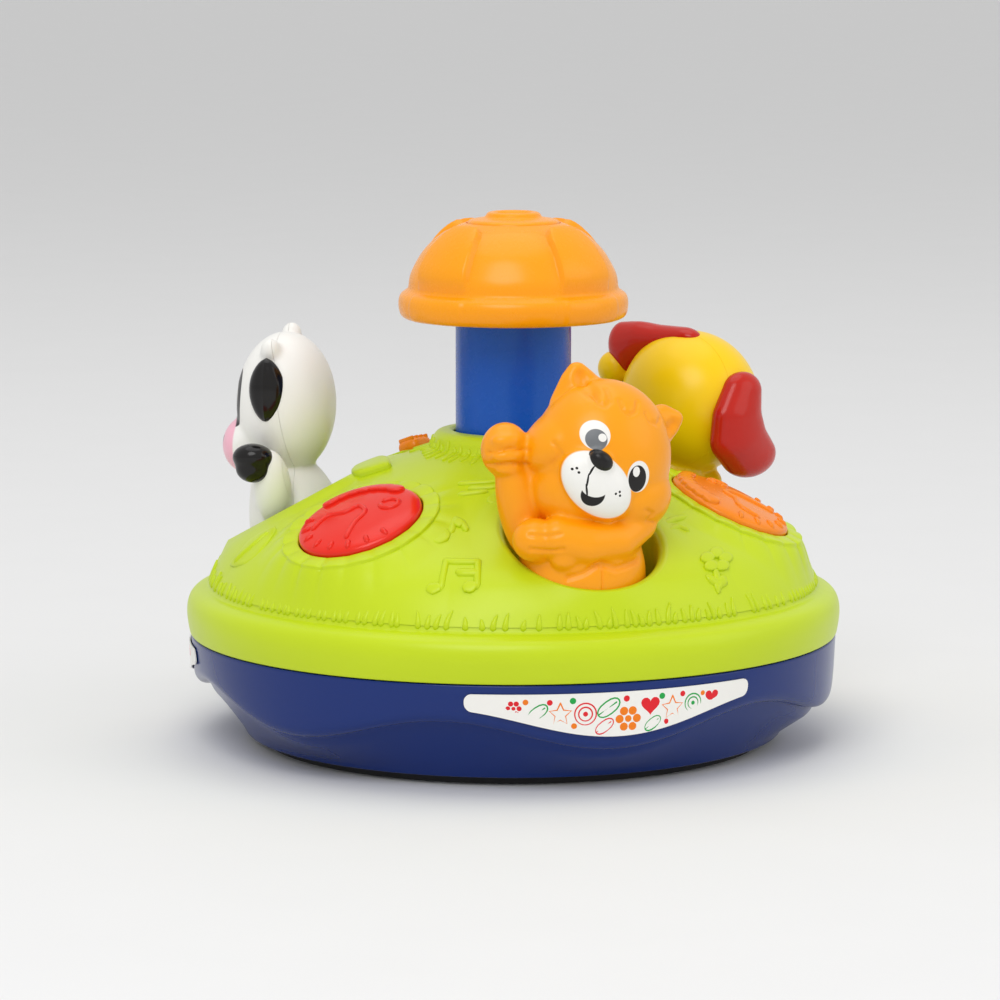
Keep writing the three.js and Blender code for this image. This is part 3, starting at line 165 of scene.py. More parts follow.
def colour(name):
    return tuple(getattr(bpy.context.scene.top_colours, name))


# Shader groups

SHADE_SCALE = 22.0
SCUFF_SCALE = 260.0
SCUFF_DETAIL = 4.0
SCUFF_ROUGHNESS = 0.7
GRAIN_SCALE = 1400.0
GRAIN_DISTANCE = 0.0005
PAINT_EDGE_SHARE = 0.04
SPECULAR_LEVEL = 0.32


def add_node(tree, kind, settings=(), inputs=()):
    """A node with its settings, each of its inputs given a value or linked to a socket"""
    node = tree.nodes.new(kind)
    for name, value in dict(settings).items():
        setattr(node, name, value)
    for name, value in dict(inputs).items():
        if isinstance(value, bpy.types.NodeSocket):
            tree.links.new(value, node.inputs[name])
        else:
            node.inputs[name].default_value = value
    return node


def math_node(tree, operation, *values, clamp=False):
    settings = {"operation": operation, "use_clamp": clamp}
    return add_node(tree, "ShaderNodeMath", settings, enumerate(values)).outputs[0]


def noise_node(tree, vector, scale, detail=2.0, roughness=0.5):
    inputs = {"Vector": vector, "Scale": scale, "Detail": detail, "Roughness": roughness}
    return add_node(tree, "ShaderNodeTexNoise", (), inputs).outputs["Fac"]


def object_point(tree):
    return add_node(tree, "ShaderNodeTexCoord").outputs["Object"]


def shared_group(name, inputs, outputs, fill):
    """A node group with named sockets. fill(tree, given) returns what each output is linked to."""
    if name in bpy.data.node_groups:
        return bpy.data.node_groups[name]
    tree = bpy.data.node_groups.new(name, "ShaderNodeTree")
    for label, (kind, default) in inputs.items():
        socket = tree.interface.new_socket(label, in_out="INPUT", socket_type=f"NodeSocket{kind}")
        socket.default_value = default
    for label, kind in outputs.items():
        tree.interface.new_socket(label, in_out="OUTPUT", socket_type=f"NodeSocket{kind}")
    given = tree.nodes.new("NodeGroupInput").outputs
    add_node(tree, "NodeGroupOutput", (), fill(tree, given))
    return tree


def fill_moulded_skin(tree, given):
    """Slow shade changes, a fine grain and faint scuffs of moulded plastic"""
    place = object_point(tree)
    slow = noise_node(tree, place, SHADE_SCALE)
    scuffs = noise_node(tree, place, SCUFF_SCALE, SCUFF_DETAIL, SCUFF_ROUGHNESS)
    fine = noise_node(tree, place, given["Grain"])
    shade = math_node(tree, "MULTIPLY", math_node(tree, "SUBTRACT", slow, 0.5), given["Shade"])
    value = math_node(tree, "ADD", math_node(tree, "MULTIPLY", shade, 2.0), 1.0)
    tint = add_node(tree, "ShaderNodeHueSaturation", (), {"Color": given["Color"], "Value": value})
    wear = math_node(tree, "MULTIPLY", math_node(tree, "SUBTRACT", scuffs, 0.5), given["Scuff"])
    rough = math_node(tree, "ADD", given["Roughness"], wear, clamp=True)
    return {"Color": tint.outputs["Color"], "Roughness": rough, "Height": fine}


def moulded_skin_group():
    return shared_group("Moulded skin", {
        "Color": ("Color", (0.8, 0.8, 0.8, 1)), "Shade": ("Float", 0.06), "Roughness": ("Float", 0.3),
        "Scuff": ("Float", 0.12), "Grain": ("Float", GRAIN_SCALE),
    }, {"Color": "Color", "Roughness": "Float", "Height": "Float"}, fill_moulded_skin)


def fill_ellipse_mask(tree, given):
    """Mask of an ellipsoid that is rolled about the viewing axis Y"""
    def vector_node(operation, first, second=None):
        inputs = [first] if second is None else [first, second]
        return add_node(tree, "ShaderNodeVectorMath", {"operation": operation}, enumerate(inputs)).outputs

    away = vector_node("SUBTRACT", given["Point"], given["Centre"])[0]
    turn = add_node(tree, "ShaderNodeVectorRotate", {"rotation_type": "Y_AXIS", "invert": True},
                    {"Vector": away, "Angle": given["Roll"]}).outputs[0]
    length = vector_node("LENGTH", vector_node("DIVIDE", turn, given["Half"])[0])["Value"]
    inside = math_node(tree, "SUBTRACT", 1.0, length)
    return {"Mask": math_node(tree, "DIVIDE", inside, given["Edge"], clamp=True)}


def ellipse_mask_group():
    return shared_group("Ellipse mask", {
        "Point": ("Vector", (0, 0, 0)), "Centre": ("Vector", (0, 0, 0)), "Half": ("Vector", (1, 1, 1)),
        "Roll": ("Float", 0.0), "Edge": ("Float", PAINT_EDGE_SHARE),
    }, {"Mask": "Float"}, fill_ellipse_mask)


def ellipse_mask(tree, point, centre, half, roll):
    inputs = {"Point": point, "Centre": centre, "Half": half, "Roll": math.radians(roll)}
    return add_node(tree, "ShaderNodeGroup", {"node_tree": ellipse_mask_group()}, inputs).outputs["Mask"]


def painted_colour(tree, ground, marks, place):
    """The ground colour with marks over it. Each is (colour, centre, half sizes, roll, hole) in a place."""
    inputs = {"Location": place.to_translation(), "Rotation": place.to_euler(), "Vector": object_point(tree)}
    point = add_node(tree, "ShaderNodeMapping", {"vector_type": "TEXTURE"}, inputs).outputs["Vector"]
    painted = (*ground, 1)
    for shade, centre, half, roll, hole in marks:
        shape = ellipse_mask(tree, point, centre, half, roll)
        if hole:
            kept = math_node(tree, "SUBTRACT", 1.0, ellipse_mask(tree, point, *hole, roll))
            shape = math_node(tree, "MULTIPLY", shape, kept)
        layers = {"Factor": shape, "A": painted, "B": (*shade, 1)}
        painted = add_node(tree, "ShaderNodeMix", {"data_type": "RGBA"}, layers).outputs["Result"]
    return painted


def plastic(name, ground, roughness, shade=0.05, scuff=0.1, bump=0.02, metallic=0.0, marks=(), place=None):
    """A glossy moulded plastic, with marks painted over it in a place"""
    if name in bpy.data.materials:
        return bpy.data.materials[name]
    material = bpy.data.materials.new(name)
    material.use_nodes = True
    tree = material.node_tree
    skin = add_node(tree, "ShaderNodeGroup", {"node_tree": moulded_skin_group()}, {
        "Color": painted_colour(tree, ground, marks, place) if marks else (*ground, 1),
        "Shade": shade, "Roughness": roughness, "Scuff": scuff,
    }).outputs
    grain = add_node(tree, "ShaderNodeBump", (), {
        "Strength": bump, "Distance": GRAIN_DISTANCE, "Height": skin["Height"]})
    shader = tree.nodes["Principled BSDF"]
    tree.links.new(skin["Color"], shader.inputs["Base Color"])
    tree.links.new(skin["Roughness"], shader.inputs["Roughness"])
    tree.links.new(grain.outputs["Normal"], shader.inputs["Normal"])
    shader.inputs["Metallic"].default_value = metallic
    shader.inputs["Specular IOR Level"].default_value = SPECULAR_LEVEL
    return material


# Finishes: colour, roughness and further settings of each

FINISHES = {
    "orange": ("orange", 0.27, {"shade": 0.05}),
    "deep_orange": ("deep_orange", 0.26, {"shade": 0.05}),
    "blue": ("blue", 0.27, {"shade": 0.06}),
    "deep_blue": ("deep_blue", 0.22, {"shade": 0.03, "scuff": 0.02, "bump": 0.0}),
    "lime": ("lime", 0.33, {"shade": 0.04}),
    "red": ("red", 0.2, {"shade": 0.05}),
    "purple": ("purple", 0.22, {"shade": 0.05}),
    "yellow": ("yellow", 0.26, {"shade": 0.04}),
    "ear": ("dark_red", 0.2, {"shade": 0.05, "scuff": 0.05}),
    "white": ("white", 0.27, {"shade": 0.03}),
    "black": ("black", 0.16, {"scuff": 0.05}),
    "nylon": ("nylon", 0.5, {"scuff": 0.2}),
    "grey": ("grey", 0.5, {"scuff": 0.25, "bump": 0.05}),
    "label": ("white", 0.4, {"shade": 0.02}),
    "print_red": ("ink_red", 0.45, {"shade": 0.1}),
    "print_green": ("ink_green", 0.45, {"shade": 0.1}),
    "print_orange": ("ink_orange", 0.45, {"shade": 0.1}),
    "rubber": ("rubber", 0.85, {"scuff": 0.2, "bump": 0.2}),
    "steel": ("steel", 0.35, {"scuff": 0.3, "metallic": 1.0}),
    "sleeve": ("rubber", 0.4, {}),
    "board": ("board", 0.5, {}),
    "floor": ("floor", 0.7, {"shade": 0.01, "bump": 0.0}),
}
# Material slots of the frame whose finish isn't named like them
SLOT_FINISHES = {
    "natural_nylon": "nylon", "label_film": "label", "cell_sleeve": "sleeve", "board_green": "board"
}


def finish(name):
    shade, roughness, settings = FINISHES[name]
    return plastic(f"{name} finish", colour(shade), roughness, **settings)


# Mesh helpers

MERGE_REACH = 0.00001
DOME_MERGE_REACH = 0.00002
RELIEF_MERGE_REACH = 0.000001


def smooth_between(low, high, value):
    share = min(max((value - low) / (high - low), 0.0), 1.0)
    return share * share * (3 - 2 * share)


def polar(r, angle):
    return r * math.cos(angle), r * math.sin(angle)


def rounded(points, steps=5):
    """Corners of (radius, height, fillet) as a line with rounded bends"""
    line = []
    for i, (r, z, fillet) in enumerate(points):
        here = Vector((r, z))
        if not fillet or i in (0, len(points) - 1):
            line.append(tuple(here))
            continue
        before = Vector(points[i - 1][:2]) - here
        after = Vector(points[i + 1][:2]) - here
        start = here + before.normalized() * min(fillet, before.length / 2)
        end = here + after.normalized() * min(fillet, after.length / 2)
        for k in range(steps + 1):
            t = k / steps
            line.append(tuple(start * (1 - t) ** 2 + here * 2 * t * (1 - t) + end * t * t))
    return line


def turned(profile, facets, wave=None):
    """Vertices and faces of a line (radius, height) turned about Z. wave(angle, i, r, z) moves a place."""
    vertices = []
    faces = []
    rows = len(profile)
    for j in range(facets):
        angle = FULL_TURN * j / facets
        for i, (r, z) in enumerate(profile):
            if wave:
                r, z = wave(angle, i, r, z)
            vertices.append((*polar(r, angle), z))
        following = (j + 1) % facets
        for i in range(rows - 1):
            faces.append((j * rows + i, following * rows + i, following * rows + i + 1, j * rows + i + 1))
    return vertices, faces


def strip_faces(rows, count, closed=True, start=0):
    """Faces between rows of vertices that follow each other"""
    faces = []
    for row in range(rows - 1):
        low, high = start + row * count, start + (row + 1) * count
        for i in range(count if closed else count - 1):
            j = (i + 1) % count
            faces.append((low + i, low + j, high + j, high + i))
    return faces


def tidy(obj, reach=MERGE_REACH):
    form = bmesh.new()
    form.from_mesh(obj.data)
    bmesh.ops.remove_doubles(form, verts=form.verts, dist=reach)
    bmesh.ops.dissolve_degenerate(form, edges=form.edges, dist=reach)
    bmesh.ops.recalc_face_normals(form, faces=form.faces)
    form.to_mesh(obj.data)
    form.free()
    return obj


def mesh_object(name, mesh, matrix=None):
    obj = bpy.data.objects.new(name, mesh)
    bpy.context.scene.collection.objects.link(obj)
    if matrix is not None:
        obj.matrix_world = matrix
    return obj


def form_object(name, form, matrix=None):
    """An object of an edited form, which is freed"""
    mesh = bpy.data.meshes.new(name)
    form.to_mesh(mesh)
    form.free()
    return mesh_object(name, mesh, matrix)


def new_object(name, vertices, faces, matrix=None):
    mesh = bpy.data.meshes.new(name)
    mesh.from_pydata(vertices, [], faces)
    return mesh_object(name, mesh, matrix)


def piece(obj, body, material, replaces=(), smooth=EDGE_SMOOTH):
    """Shades a made object and hands it to the frame, with its place in its mesh"""
    obj.data.transform(obj.matrix_world)
    obj.matrix_world = Matrix.Identity(4)
    obj.data.shade_smooth()
    obj.data.set_sharp_from_angle(angle=math.radians(smooth))
    obj.data.materials.clear()
    obj.data.materials.append(material)
    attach(obj, body)
    if replaces:
        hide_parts(*replaces)


def turned_object(name, profile, facets, wave=None, matrix=None):
    return tidy(new_object(name, *turned(profile, facets, wave), matrix))


def joined_object(name, objects):
    """Joins made objects into a new one"""
    form = bmesh.new()
    for obj in objects:
        mesh = obj.data.copy()
        mesh.transform(obj.matrix_world)
        form.from_mesh(mesh)
        bpy.data.meshes.remove(mesh)
    for obj in objects:
        bpy.data.objects.remove(obj)
    return form_object(name, form)


def apply_modifiers(obj):
    bpy.context.view_layer.update()
    depsgraph = bpy.context.evaluated_depsgraph_get()
    mesh = bpy.data.meshes.new_from_object(obj.evaluated_get(depsgraph))
    obj.modifiers.clear()
    obj.data = mesh


def cut(obj, cutter, operation="DIFFERENCE"):
    """Cuts a made object with another, or joins them, and removes the other"""
    change = obj.modifiers.new("cut", "BOOLEAN")
    change.operation = operation
    change.solver = "EXACT"
    change.object = cutter
    apply_modifiers(obj)
    bpy.data.objects.remove(cutter)


def box_object(name, low, high, bevel=0.0, segments=3, matrix=None):
    """A block between two corners with bevelled edges"""
    form = bmesh.new()
    bmesh.ops.create_cube(form, size=1)
    middle = (Vector(low) + Vector(high)) / 2
    span = Vector(high) - Vector(low)
    for vertex in form.verts:
        vertex.co = Vector(vertex.co) * span + middle
    if bevel:
        bmesh.ops.bevel(
            form, geom=list(form.edges), offset=bevel, segments=segments, affect="EDGES", profile=0.5)
    return form_object(name, form, matrix)


def block(middle, half, low, high, matrix=None, name="block", bevel=0.0, segments=3):
    """A block over a plan with a middle and half sizes, between two heights"""
    x, y = middle
    corners = (x - half[0], y - half[1], low), (x + half[0], y + half[1], high)
    return box_object(name, *corners, bevel, segments, matrix)


def rod(radius, low, high, place=(0, 0), facets=32):
    """An upright round rod"""
    line = [(0, low), (radius, low), (radius, high), (0, high)]
    return turned_object("rod", line, facets, None, Matrix.Translation((*place, 0)))


def ring(inner, outer, low, high, matrix=None, name="ring", facets=64):
    """A ring of square section"""
    line = [(inner, low), (outer, low), (outer, high), (inner, high), (inner, low)]
    return turned_object(name, line, facets, None, matrix)


def turn_to(azimuth):
    """From a frame that looks along -Y to the azimuth of its own place"""
    return Matrix.Rotation(math.radians(azimuth - LOOK_AZIMUTH), 4, "Z")


def seat(radius, height, tilt, azimuth):
    place = Matrix.Translation((0, -radius, height)) @ Matrix.Rotation(math.radians(tilt), 4, "X")
    return turn_to(azimuth) @ place


# Surface of the dome

COLLAR_FOOT = (0.0274, 0.0966)
COLLAR_LEAN_SHARE = 0.28
UPPER_BEND = (0.047, 0.0898)
SLOPE_SHARE = 0.478
SHOULDER_RADII = (0.086, 0.091)
FLANK_POINTS = ((0.0932, 0.0623), (0.097, 0.0605))
WAIST = (0.1002, 0.0528)
BEND_FILLETS = (0.012, 0.012, 0.005)
BEND_STEPS = 8
NORMAL_STEP = 0.0004
FLANK_LEAN = math.radians(32)


def cone_height(r):
    return UPPER_BEND[1] - SLOPE_SHARE * (r - UPPER_BEND[0])


def outline_towards(share):
    """The dome's outline from collar to waist: share 0 towards a button, 1 towards a figure"""
    shoulder = SHOULDER_RADII[0] + (SHOULDER_RADII[1] - SHOULDER_RADII[0]) * share
    near, far = Vector(FLANK_POINTS[0]), Vector(FLANK_POINTS[1])
    flank = near.lerp(far, share)
    first, second, third = BEND_FILLETS
    return rounded([
        (*COLLAR_FOOT, 0), (*UPPER_BEND, first), (shoulder, cone_height(shoulder), second),
        (flank.x, flank.y, third), (*WAIST, 0)
    ], BEND_STEPS)


OUTLINES = [np.array(outline_towards(share)) for share in (0.0, 1.0)]


def figure_share(angle):
    return 0.5 + 0.5 * math.cos(len(FIGURES) * (angle - math.radians(LOOK_AZIMUTH)))


def dome_height(x, y):
    r = math.hypot(x, y)
    share = figure_share(math.atan2(y, x))
    low, high = (float(np.interp(r, line[:, 0], line[:, 1])) for line in OUTLINES)
    return low + (high - low) * share


def dome_normal(x, y, step=NORMAL_STEP):
    slope_x = (dome_height(x + step, y) - dome_height(x - step, y)) / (2 * step)
    slope_y = (dome_height(x, y + step) - dome_height(x, y - step)) / (2 * step)
    return Vector((-slope_x, -slope_y, 1)).normalized()


def on_dome(azimuth):
    """Places on the dome turned about the column by an angle"""
    turn = Matrix.Rotation(math.radians(azimuth), 3, "Z")

    def place(point, rise):
        x, y = point
        return turn @ (Vector((x, y, dome_height(x, y))) + dome_normal(x, y) * rise)
    return place


def on_flank(point, rise):
    """A place on the steep flank above the waist, from its arc and its height above the waist"""
    angle = point[0] / WAIST[0]
    share = figure_share(angle)
    z = WAIST[1] + point[1]
    near, far = (float(np.interp(z, line[::-1, 1], line[::-1, 0])) for line in OUTLINES)
    r = near + (far - near) * share + rise * math.cos(FLANK_LEAN)
    return Vector((*polar(r, angle), z + rise * math.sin(FLANK_LEAN)))


def on_collar(point, rise):
    """A place on the side of the collar, from its arc and its height above the collar's foot"""
    r = COLLAR_FOOT[0] - COLLAR_LEAN_SHARE * point[1] + rise
    return Vector((*polar(r, point[0] / COLLAR_FOOT[0]), COLLAR_FOOT[1] + point[1]))


# Raised shapes: outlines and lines in a surface's own two directions, put in place by its function

RAISED_SHARES = ((1, -1), (1, 0.5), (0.95, 0.85), (0.86, 1), (0.5, 1.05))
RIDGE_STEPS = 6
RIDGE_END_SHARES = (0.9, 0.35, 0.4)
SINK = 0.0006


def curve_through(points, closed, steps=4):
    """A smooth line through points, closed or open"""
    points = [np.array(point, float) for point in points]
    count = len(points)
    line = []
    for i in range(count if closed else count - 1):
        picks = [(i + k) % count if closed else min(max(i + k, 0), count - 1) for k in (-1, 0, 1, 2)]
        a, b, c, d = (points[k] for k in picks)
        for k in range(steps):
            t = k / steps
            bend = (2 * a - 5 * b + 4 * c - d) * t * t + (3 * b - a - 3 * c + d) * t ** 3
            line.append((2 * b + (c - a) * t + bend) / 2)
    if not closed:
        line.append(points[-1])
    return line


def oval(centre, half, roll=0, count=20):
    lean = math.radians(roll)
    result = []
    for i in range(count):
        turn = FULL_TURN * i / count
        x, y = half[0] * math.cos(turn), half[1] * math.sin(turn)
        across = x * math.cos(lean) - y * math.sin(lean)
        up = x * math.sin(lean) + y * math.cos(lean)
        result.append(np.array((centre[0] + across, centre[1] + up)))
    return result


def raised(shapes, outline, place, rise):
    """Adds a raised plate with a rounded edge to lists of vertices and faces"""
    vertices, faces = shapes
    start = len(vertices)
    count = len(outline)
    rows = len(RAISED_SHARES)
    centre = sum(outline) / count
    for scale, lift in RAISED_SHARES:
        height = -SINK if lift < 0 else rise * lift
        vertices += [place(centre + (point - centre) * scale, height) for point in outline]
    vertices += [place(centre, rise * RAISED_SHARES[-1][1]), place(centre, -SINK)]
    faces += strip_faces(rows, count, True, start)
    top, bottom = start + rows * count, start + rows * count + 1
    for i in range(count):
        j = (i + 1) % count
        faces += [(top - count + i, top - count + j, top), (start + j, start + i, bottom)]


def ridge(shapes, line, halves, place, rise):
    """Adds a raised line with a round top and round ends to lists of vertices and faces"""
    vertices, faces = shapes
    line = [np.array(point, float) for point in line]
    halves = halves if hasattr(halves, "__len__") else [halves] * len(line)
    ways = [line[min(i + 1, len(line) - 1)] - line[max(i - 1, 0)] for i in range(len(line))]
    ways = [way / np.linalg.norm(way) for way in ways]
    reach, width, height = RIDGE_END_SHARES
    rows = [(line[0] - ways[0] * halves[0] * reach, ways[0], halves[0] * width, rise * height)]
    rows += [(point, way, half, rise) for point, way, half in zip(line, ways, halves)]
    rows.append((line[-1] + ways[-1] * halves[-1] * reach, ways[-1], halves[-1] * width, rise * height))
    arch = [polar(1, math.pi * k / RIDGE_STEPS) for k in range(RIDGE_STEPS + 1)]
    section = [(1, None), *arch, (-1, None)]
    start = len(vertices)
    count = len(section)
    for point, way, half, height in rows:
        across = np.array((way[1], -way[0]))
        vertices += [
            place(point + across * half * side, -SINK if lift is None else height * lift)
            for side, lift in section]
    faces += strip_faces(len(rows), count, True, start)
    end = start + (len(rows) - 1) * count
    faces += [tuple(range(start, start + count)), tuple(reversed(range(end, end + count)))]


def relief_object(name, shapes, matrix=None):
    return tidy(new_object(name, *shapes, matrix), RELIEF_MERGE_REACH)


# Pictures raised on the dome, in pixels of the photograph

PICTURE_SIDE = 1000
PICTURE_TURN = 120
SIGHT_START = 0.13
SIGHT_STEP = 0.0004
LEAF_PIXELS = [
    (231, 566), (240, 554), (250, 542), (264, 533), (276, 528), (274, 536), (264, 550), (254, 562), (240, 567)
]
LEAF_VEIN_PIXELS = [(238, 562), (252, 549), (268, 536)]
TALL_LEAF_PIXELS = [
    (353, 477), (356, 472), (372, 465), (384, 461), (390, 462), (391, 468), (380, 472), (360, 478)
]
NOTE_HEAD_PIXELS = [
    ((440, 537), (11, 7.5), -15), ((459, 524), (5.5, 4), 0), ((434, 590), (8, 5.5), -15),
    ((470, 588), (8, 5.5), -15)
]
NOTE_LINE_PIXELS = [
    [(451, 533), (455, 520)], [(455, 520), (462, 523), (466, 530)], [(441, 588), (446, 562)],
    [(477, 586), (478, 562)], [(446, 562), (478, 562)], [(459, 573), (477, 573)]
]
FLOWER_PIXELS = ((716, 561), 9.5, 7)
FLOWER_FLATNESS_SHARE = 0.75
FLOWER_PETALS = 5
SINGLE_LINE_PIXELS = [
    [(716, 572), (717, 589)], [(717, 584), (709, 579)], [(717, 585), (724, 580)],
    [(668, 532), (677, 527), (686, 530)], [(665, 524), (676, 519), (692, 517)],
    [(774, 558), (788, 576), (792, 584)], [(461, 484), (497, 482)], [(471, 489), (499, 487)],
    [(461, 495), (485, 492)]
]
COLLAR_DOT_PIXELS = ((496, 502), (9, 5), 0)
PICTURE_LINE_HALF = 0.0012
PICTURE_LINE_STEPS = 3
VEIN_SHARE = 1.8
TALL_LEAF_SHARE = 2.5


def camera_frame():
    """The camera's place and its right, up and back directions"""
    side, rise = math.radians(CAMERA_AZIMUTH), math.radians(CAMERA_ELEVATION)
    right = Vector((math.cos(side), math.sin(side), 0))
    back = Vector((math.sin(side) * math.cos(rise), -math.cos(side) * math.cos(rise), math.sin(rise)))
    eye = right * CAMERA_SIDE + Vector((0, 0, CAMERA_HEIGHT)) + back * CAMERA_DISTANCE
    return eye, right, back.cross(right), back


def seen_on_dome(pixel):
    """The place in plan where the line of sight through a pixel of the photograph meets the dome"""
    eye, right, up, back = camera_frame()
    focal = CAMERA_LENS / CAMERA_SENSOR * PICTURE_SIDE
    ray = right * (pixel[0] - PICTURE_SIDE / 2) - up * (pixel[1] - PICTURE_SIDE / 2) - back * focal
    ray.normalize()
    reach = CAMERA_DISTANCE - SIGHT_START
    place = eye + ray * reach
    while math.hypot(place.x, place.y) > WAIST[0] or place.z > dome_height(place.x, place.y):
        reach += SIGHT_STEP
        place = eye + ray * reach
        if reach > CAMERA_DISTANCE + SIGHT_START:
            raise RuntimeError(f"the line of sight through {pixel} misses the dome")
    return np.array((place.x, place.y))


def flower_ovals():
    (x, y), spread, size = FLOWER_PIXELS
    flat = FLOWER_FLATNESS_SHARE
    for k in range(FLOWER_PETALS):
        across, up = polar(spread, FULL_TURN * k / FLOWER_PETALS + math.pi / 2)
        yield oval((x + across, y - flat * up), (size, size * flat))


def dome_pictures(relief):
    """Leaves, notes and flowers, each with the turns about the column at which it stands"""
    to_left, to_right, all_round = (0, -PICTURE_TURN), (0, PICTURE_TURN), (0, PICTURE_TURN, -PICTURE_TURN)
    notes = [oval(*entry) for entry in NOTE_HEAD_PIXELS]
    pictures = [
        (raised, [curve_through(LEAF_PIXELS, True)], to_left, relief),
        (ridge, [LEAF_VEIN_PIXELS], to_left, relief * VEIN_SHARE),
        (raised, [curve_through(TALL_LEAF_PIXELS, True)], (0,), relief * TALL_LEAF_SHARE),
        (raised, notes, all_round, relief),
        (ridge, NOTE_LINE_PIXELS, all_round, relief),
        (raised, [*flower_ovals(), oval(*COLLAR_DOT_PIXELS)], to_right, relief),
        (ridge, SINGLE_LINE_PIXELS, to_right, relief),
    ]
    shapes = ([], [])
    for add, entries, turns, rise in pictures:
        for entry in entries:
            if add is raised:
                line, halves = entry, ()
            else:
                line, halves = curve_through(entry, False, PICTURE_LINE_STEPS), (PICTURE_LINE_HALF,)
            line = [seen_on_dome(point) for point in line]
            for turn in turns:
                add(shapes, line, *halves, on_dome(turn), rise)
    return shapes


GRASS_SEED = 11
GRASS_HEIGHTS = (0.0022, 0.0056)
GRASS_HALF = 0.0009
GRASS_RISE = 0.0007
GRASS_SINK = 0.0004
GRASS_GAP_SHARE = 0.16
GRASS_SHIFT_SHARE = 0.3
GRASS_LEAN_SHARE = 0.35
BLADE_STEP_SHARES = (0, 0.35, 0.7, 1)
BLADE_WIDTH_SHARES = (1.15, 1, 0.75, 0.35)
COLLAR_WIDTH_SHARES = (1.1, 1, 0.75, 0.35)
COLLAR_GRASS = 54
COLLAR_SHIFT_SHARE = 0.25
COLLAR_GRASS_REACH = (0.0295, 0.0345)
COLLAR_BLADE_HEIGHTS = (0.0018, 0.0036)


def grass_blades(count):
    """Leaning blades above the waist and short ones round and on the collar"""
    shapes = ([], [])
    draw = random.Random(GRASS_SEED)
    pitch = FULL_TURN * WAIST[0] / count
    wide = [GRASS_HALF * share for share in BLADE_WIDTH_SHARES]
    for i in range(count):
        if draw.random() < GRASS_GAP_SHARE:
            continue
        arc = pitch * (i + draw.uniform(-GRASS_SHIFT_SHARE, GRASS_SHIFT_SHARE))
        height = draw.uniform(*GRASS_HEIGHTS)
        lean = draw.uniform(-GRASS_LEAN_SHARE, GRASS_LEAN_SHARE) * height
        line = [(arc + lean * t * t, height * t - GRASS_SINK) for t in BLADE_STEP_SHARES]
        ridge(shapes, line, wide, on_flank, GRASS_RISE)
    wide = [GRASS_HALF * share for share in COLLAR_WIDTH_SHARES]
    for i in range(COLLAR_GRASS):
        turn = FULL_TURN * (i + draw.uniform(-COLLAR_SHIFT_SHARE, COLLAR_SHIFT_SHARE)) / COLLAR_GRASS
        end = draw.uniform(*COLLAR_GRASS_REACH)
        line = [polar(r, turn) for r in np.linspace(COLLAR_FOOT[0] - GRASS_SINK, end, len(wide))]
        ridge(shapes, line, wide, on_dome(0), GRASS_RISE)
        height = draw.uniform(*COLLAR_BLADE_HEIGHTS)
        line = [(turn * COLLAR_FOOT[0], height * t) for t in BLADE_STEP_SHARES]
        ridge(shapes, line, wide, on_collar, GRASS_RISE)
    return shapes


# Dome

SEAT_CENTRE = 0.07175
SECTOR_HALF_ANGLE = math.radians(30)
SECTOR_COUNTS = (84, 60, 24)
SECTOR_RINGS = 34
SECTOR_EASE = 1.25
WELL_CENTRE = 0.0715
WELL_TILT = 29
WELL_STRETCH_SHARE = 1.045
WELL_DROP = 0.0014
WELL_CREST = 0.0275
WELL_THROAT = 0.0245
WELL_LIP = 0.003
WELL_FOOT = 0.0066
WELL_BOTTOM = 0.05
WELL_STEPS = 8
MOUND_REACH = 0.009
BUTTON_CENTRE = 0.072
BUTTON_TILT = 25
SLEEVE_RADIUS = 0.0209
SLEEVE_DEPTH = 0.004
PETAL_RADIUS = 0.0265
PETAL_HEIGHT = 0.0013
PETAL_EDGE_SHARE = 0.45
PETAL_STEPS = 4
PETAL_GROOVE = 0.001
PETAL_GROOVE_POWER = 0.45
PETAL_INNER_SHARE = 0.35
PETAL_SCALLOP_SHARE = 0.03
PETAL_LOW_SHARE = 0.3
PETAL_WALL = 0.0007
RIM_LINE = [
    (0.0996, 0.0536, 0), (0.1007, 0.0508, 0.0012), (0.1028, 0.0505, 0.001), (0.1066, 0.0489, 0.0025),
    (0.108, 0.0446, 0.004), (0.1076, 0.0395, 0.004), (0.1069, 0.0362, 0.0006), (0.1066, 0.036, 0.0003),
    (0.1046, 0.036, 0.0003), (0.1046, 0.046, 0.001), (0.0985, 0.0485, 0)
]
COLLAR_LINE = [
    (0.0196, 0.0945, 0), (0.0196, 0.1018, 0.0006), (0.0208, 0.1025, 0.0006), (0.0246, 0.1022, 0.0012),
    (0.0264, 0.1004, 0.0014), (0.0272, 0.0972, 0.0006), (0.0282, 0.0962, 0)
]


def sector_edge():
    """Directions from a seat's centre and places on the edge of its sixth of the dome, before its turn"""
    def corner(r, turn):
        return Vector((r * math.sin(turn), -r * math.cos(turn)))

    half = SECTOR_HALF_ANGLE
    outer, inner = WAIST[0], COLLAR_FOOT[0]
    outer_count, side_count, inner_count = SECTOR_COUNTS
    points = [corner(outer, -half + 2 * half * i / outer_count) for i in range(outer_count)]
    points += [corner(outer, half).lerp(corner(inner, half), i / side_count) for i in range(side_count)]
    points += [corner(inner, half - 2 * half * i / inner_count) for i in range(inner_count)]
    points += [corner(inner, -half).lerp(corner(outer, -half), i / side_count) for i in range(side_count)]
    return [(math.atan2(point.y + SEAT_CENTRE, point.x), point) for point in points]


def well_rows():
    """Rings of a well from its foot to its crest: radius, and rise above its plane or None at the foot"""
    rows = [(WELL_THROAT, None), (WELL_THROAT, -WELL_FOOT)]
    for k in range(WELL_STEPS + 1):
        inward, up = polar(WELL_LIP, math.pi / 2 * k / WELL_STEPS)
        rows.append((WELL_CREST - inward, up - WELL_LIP))
    return rows


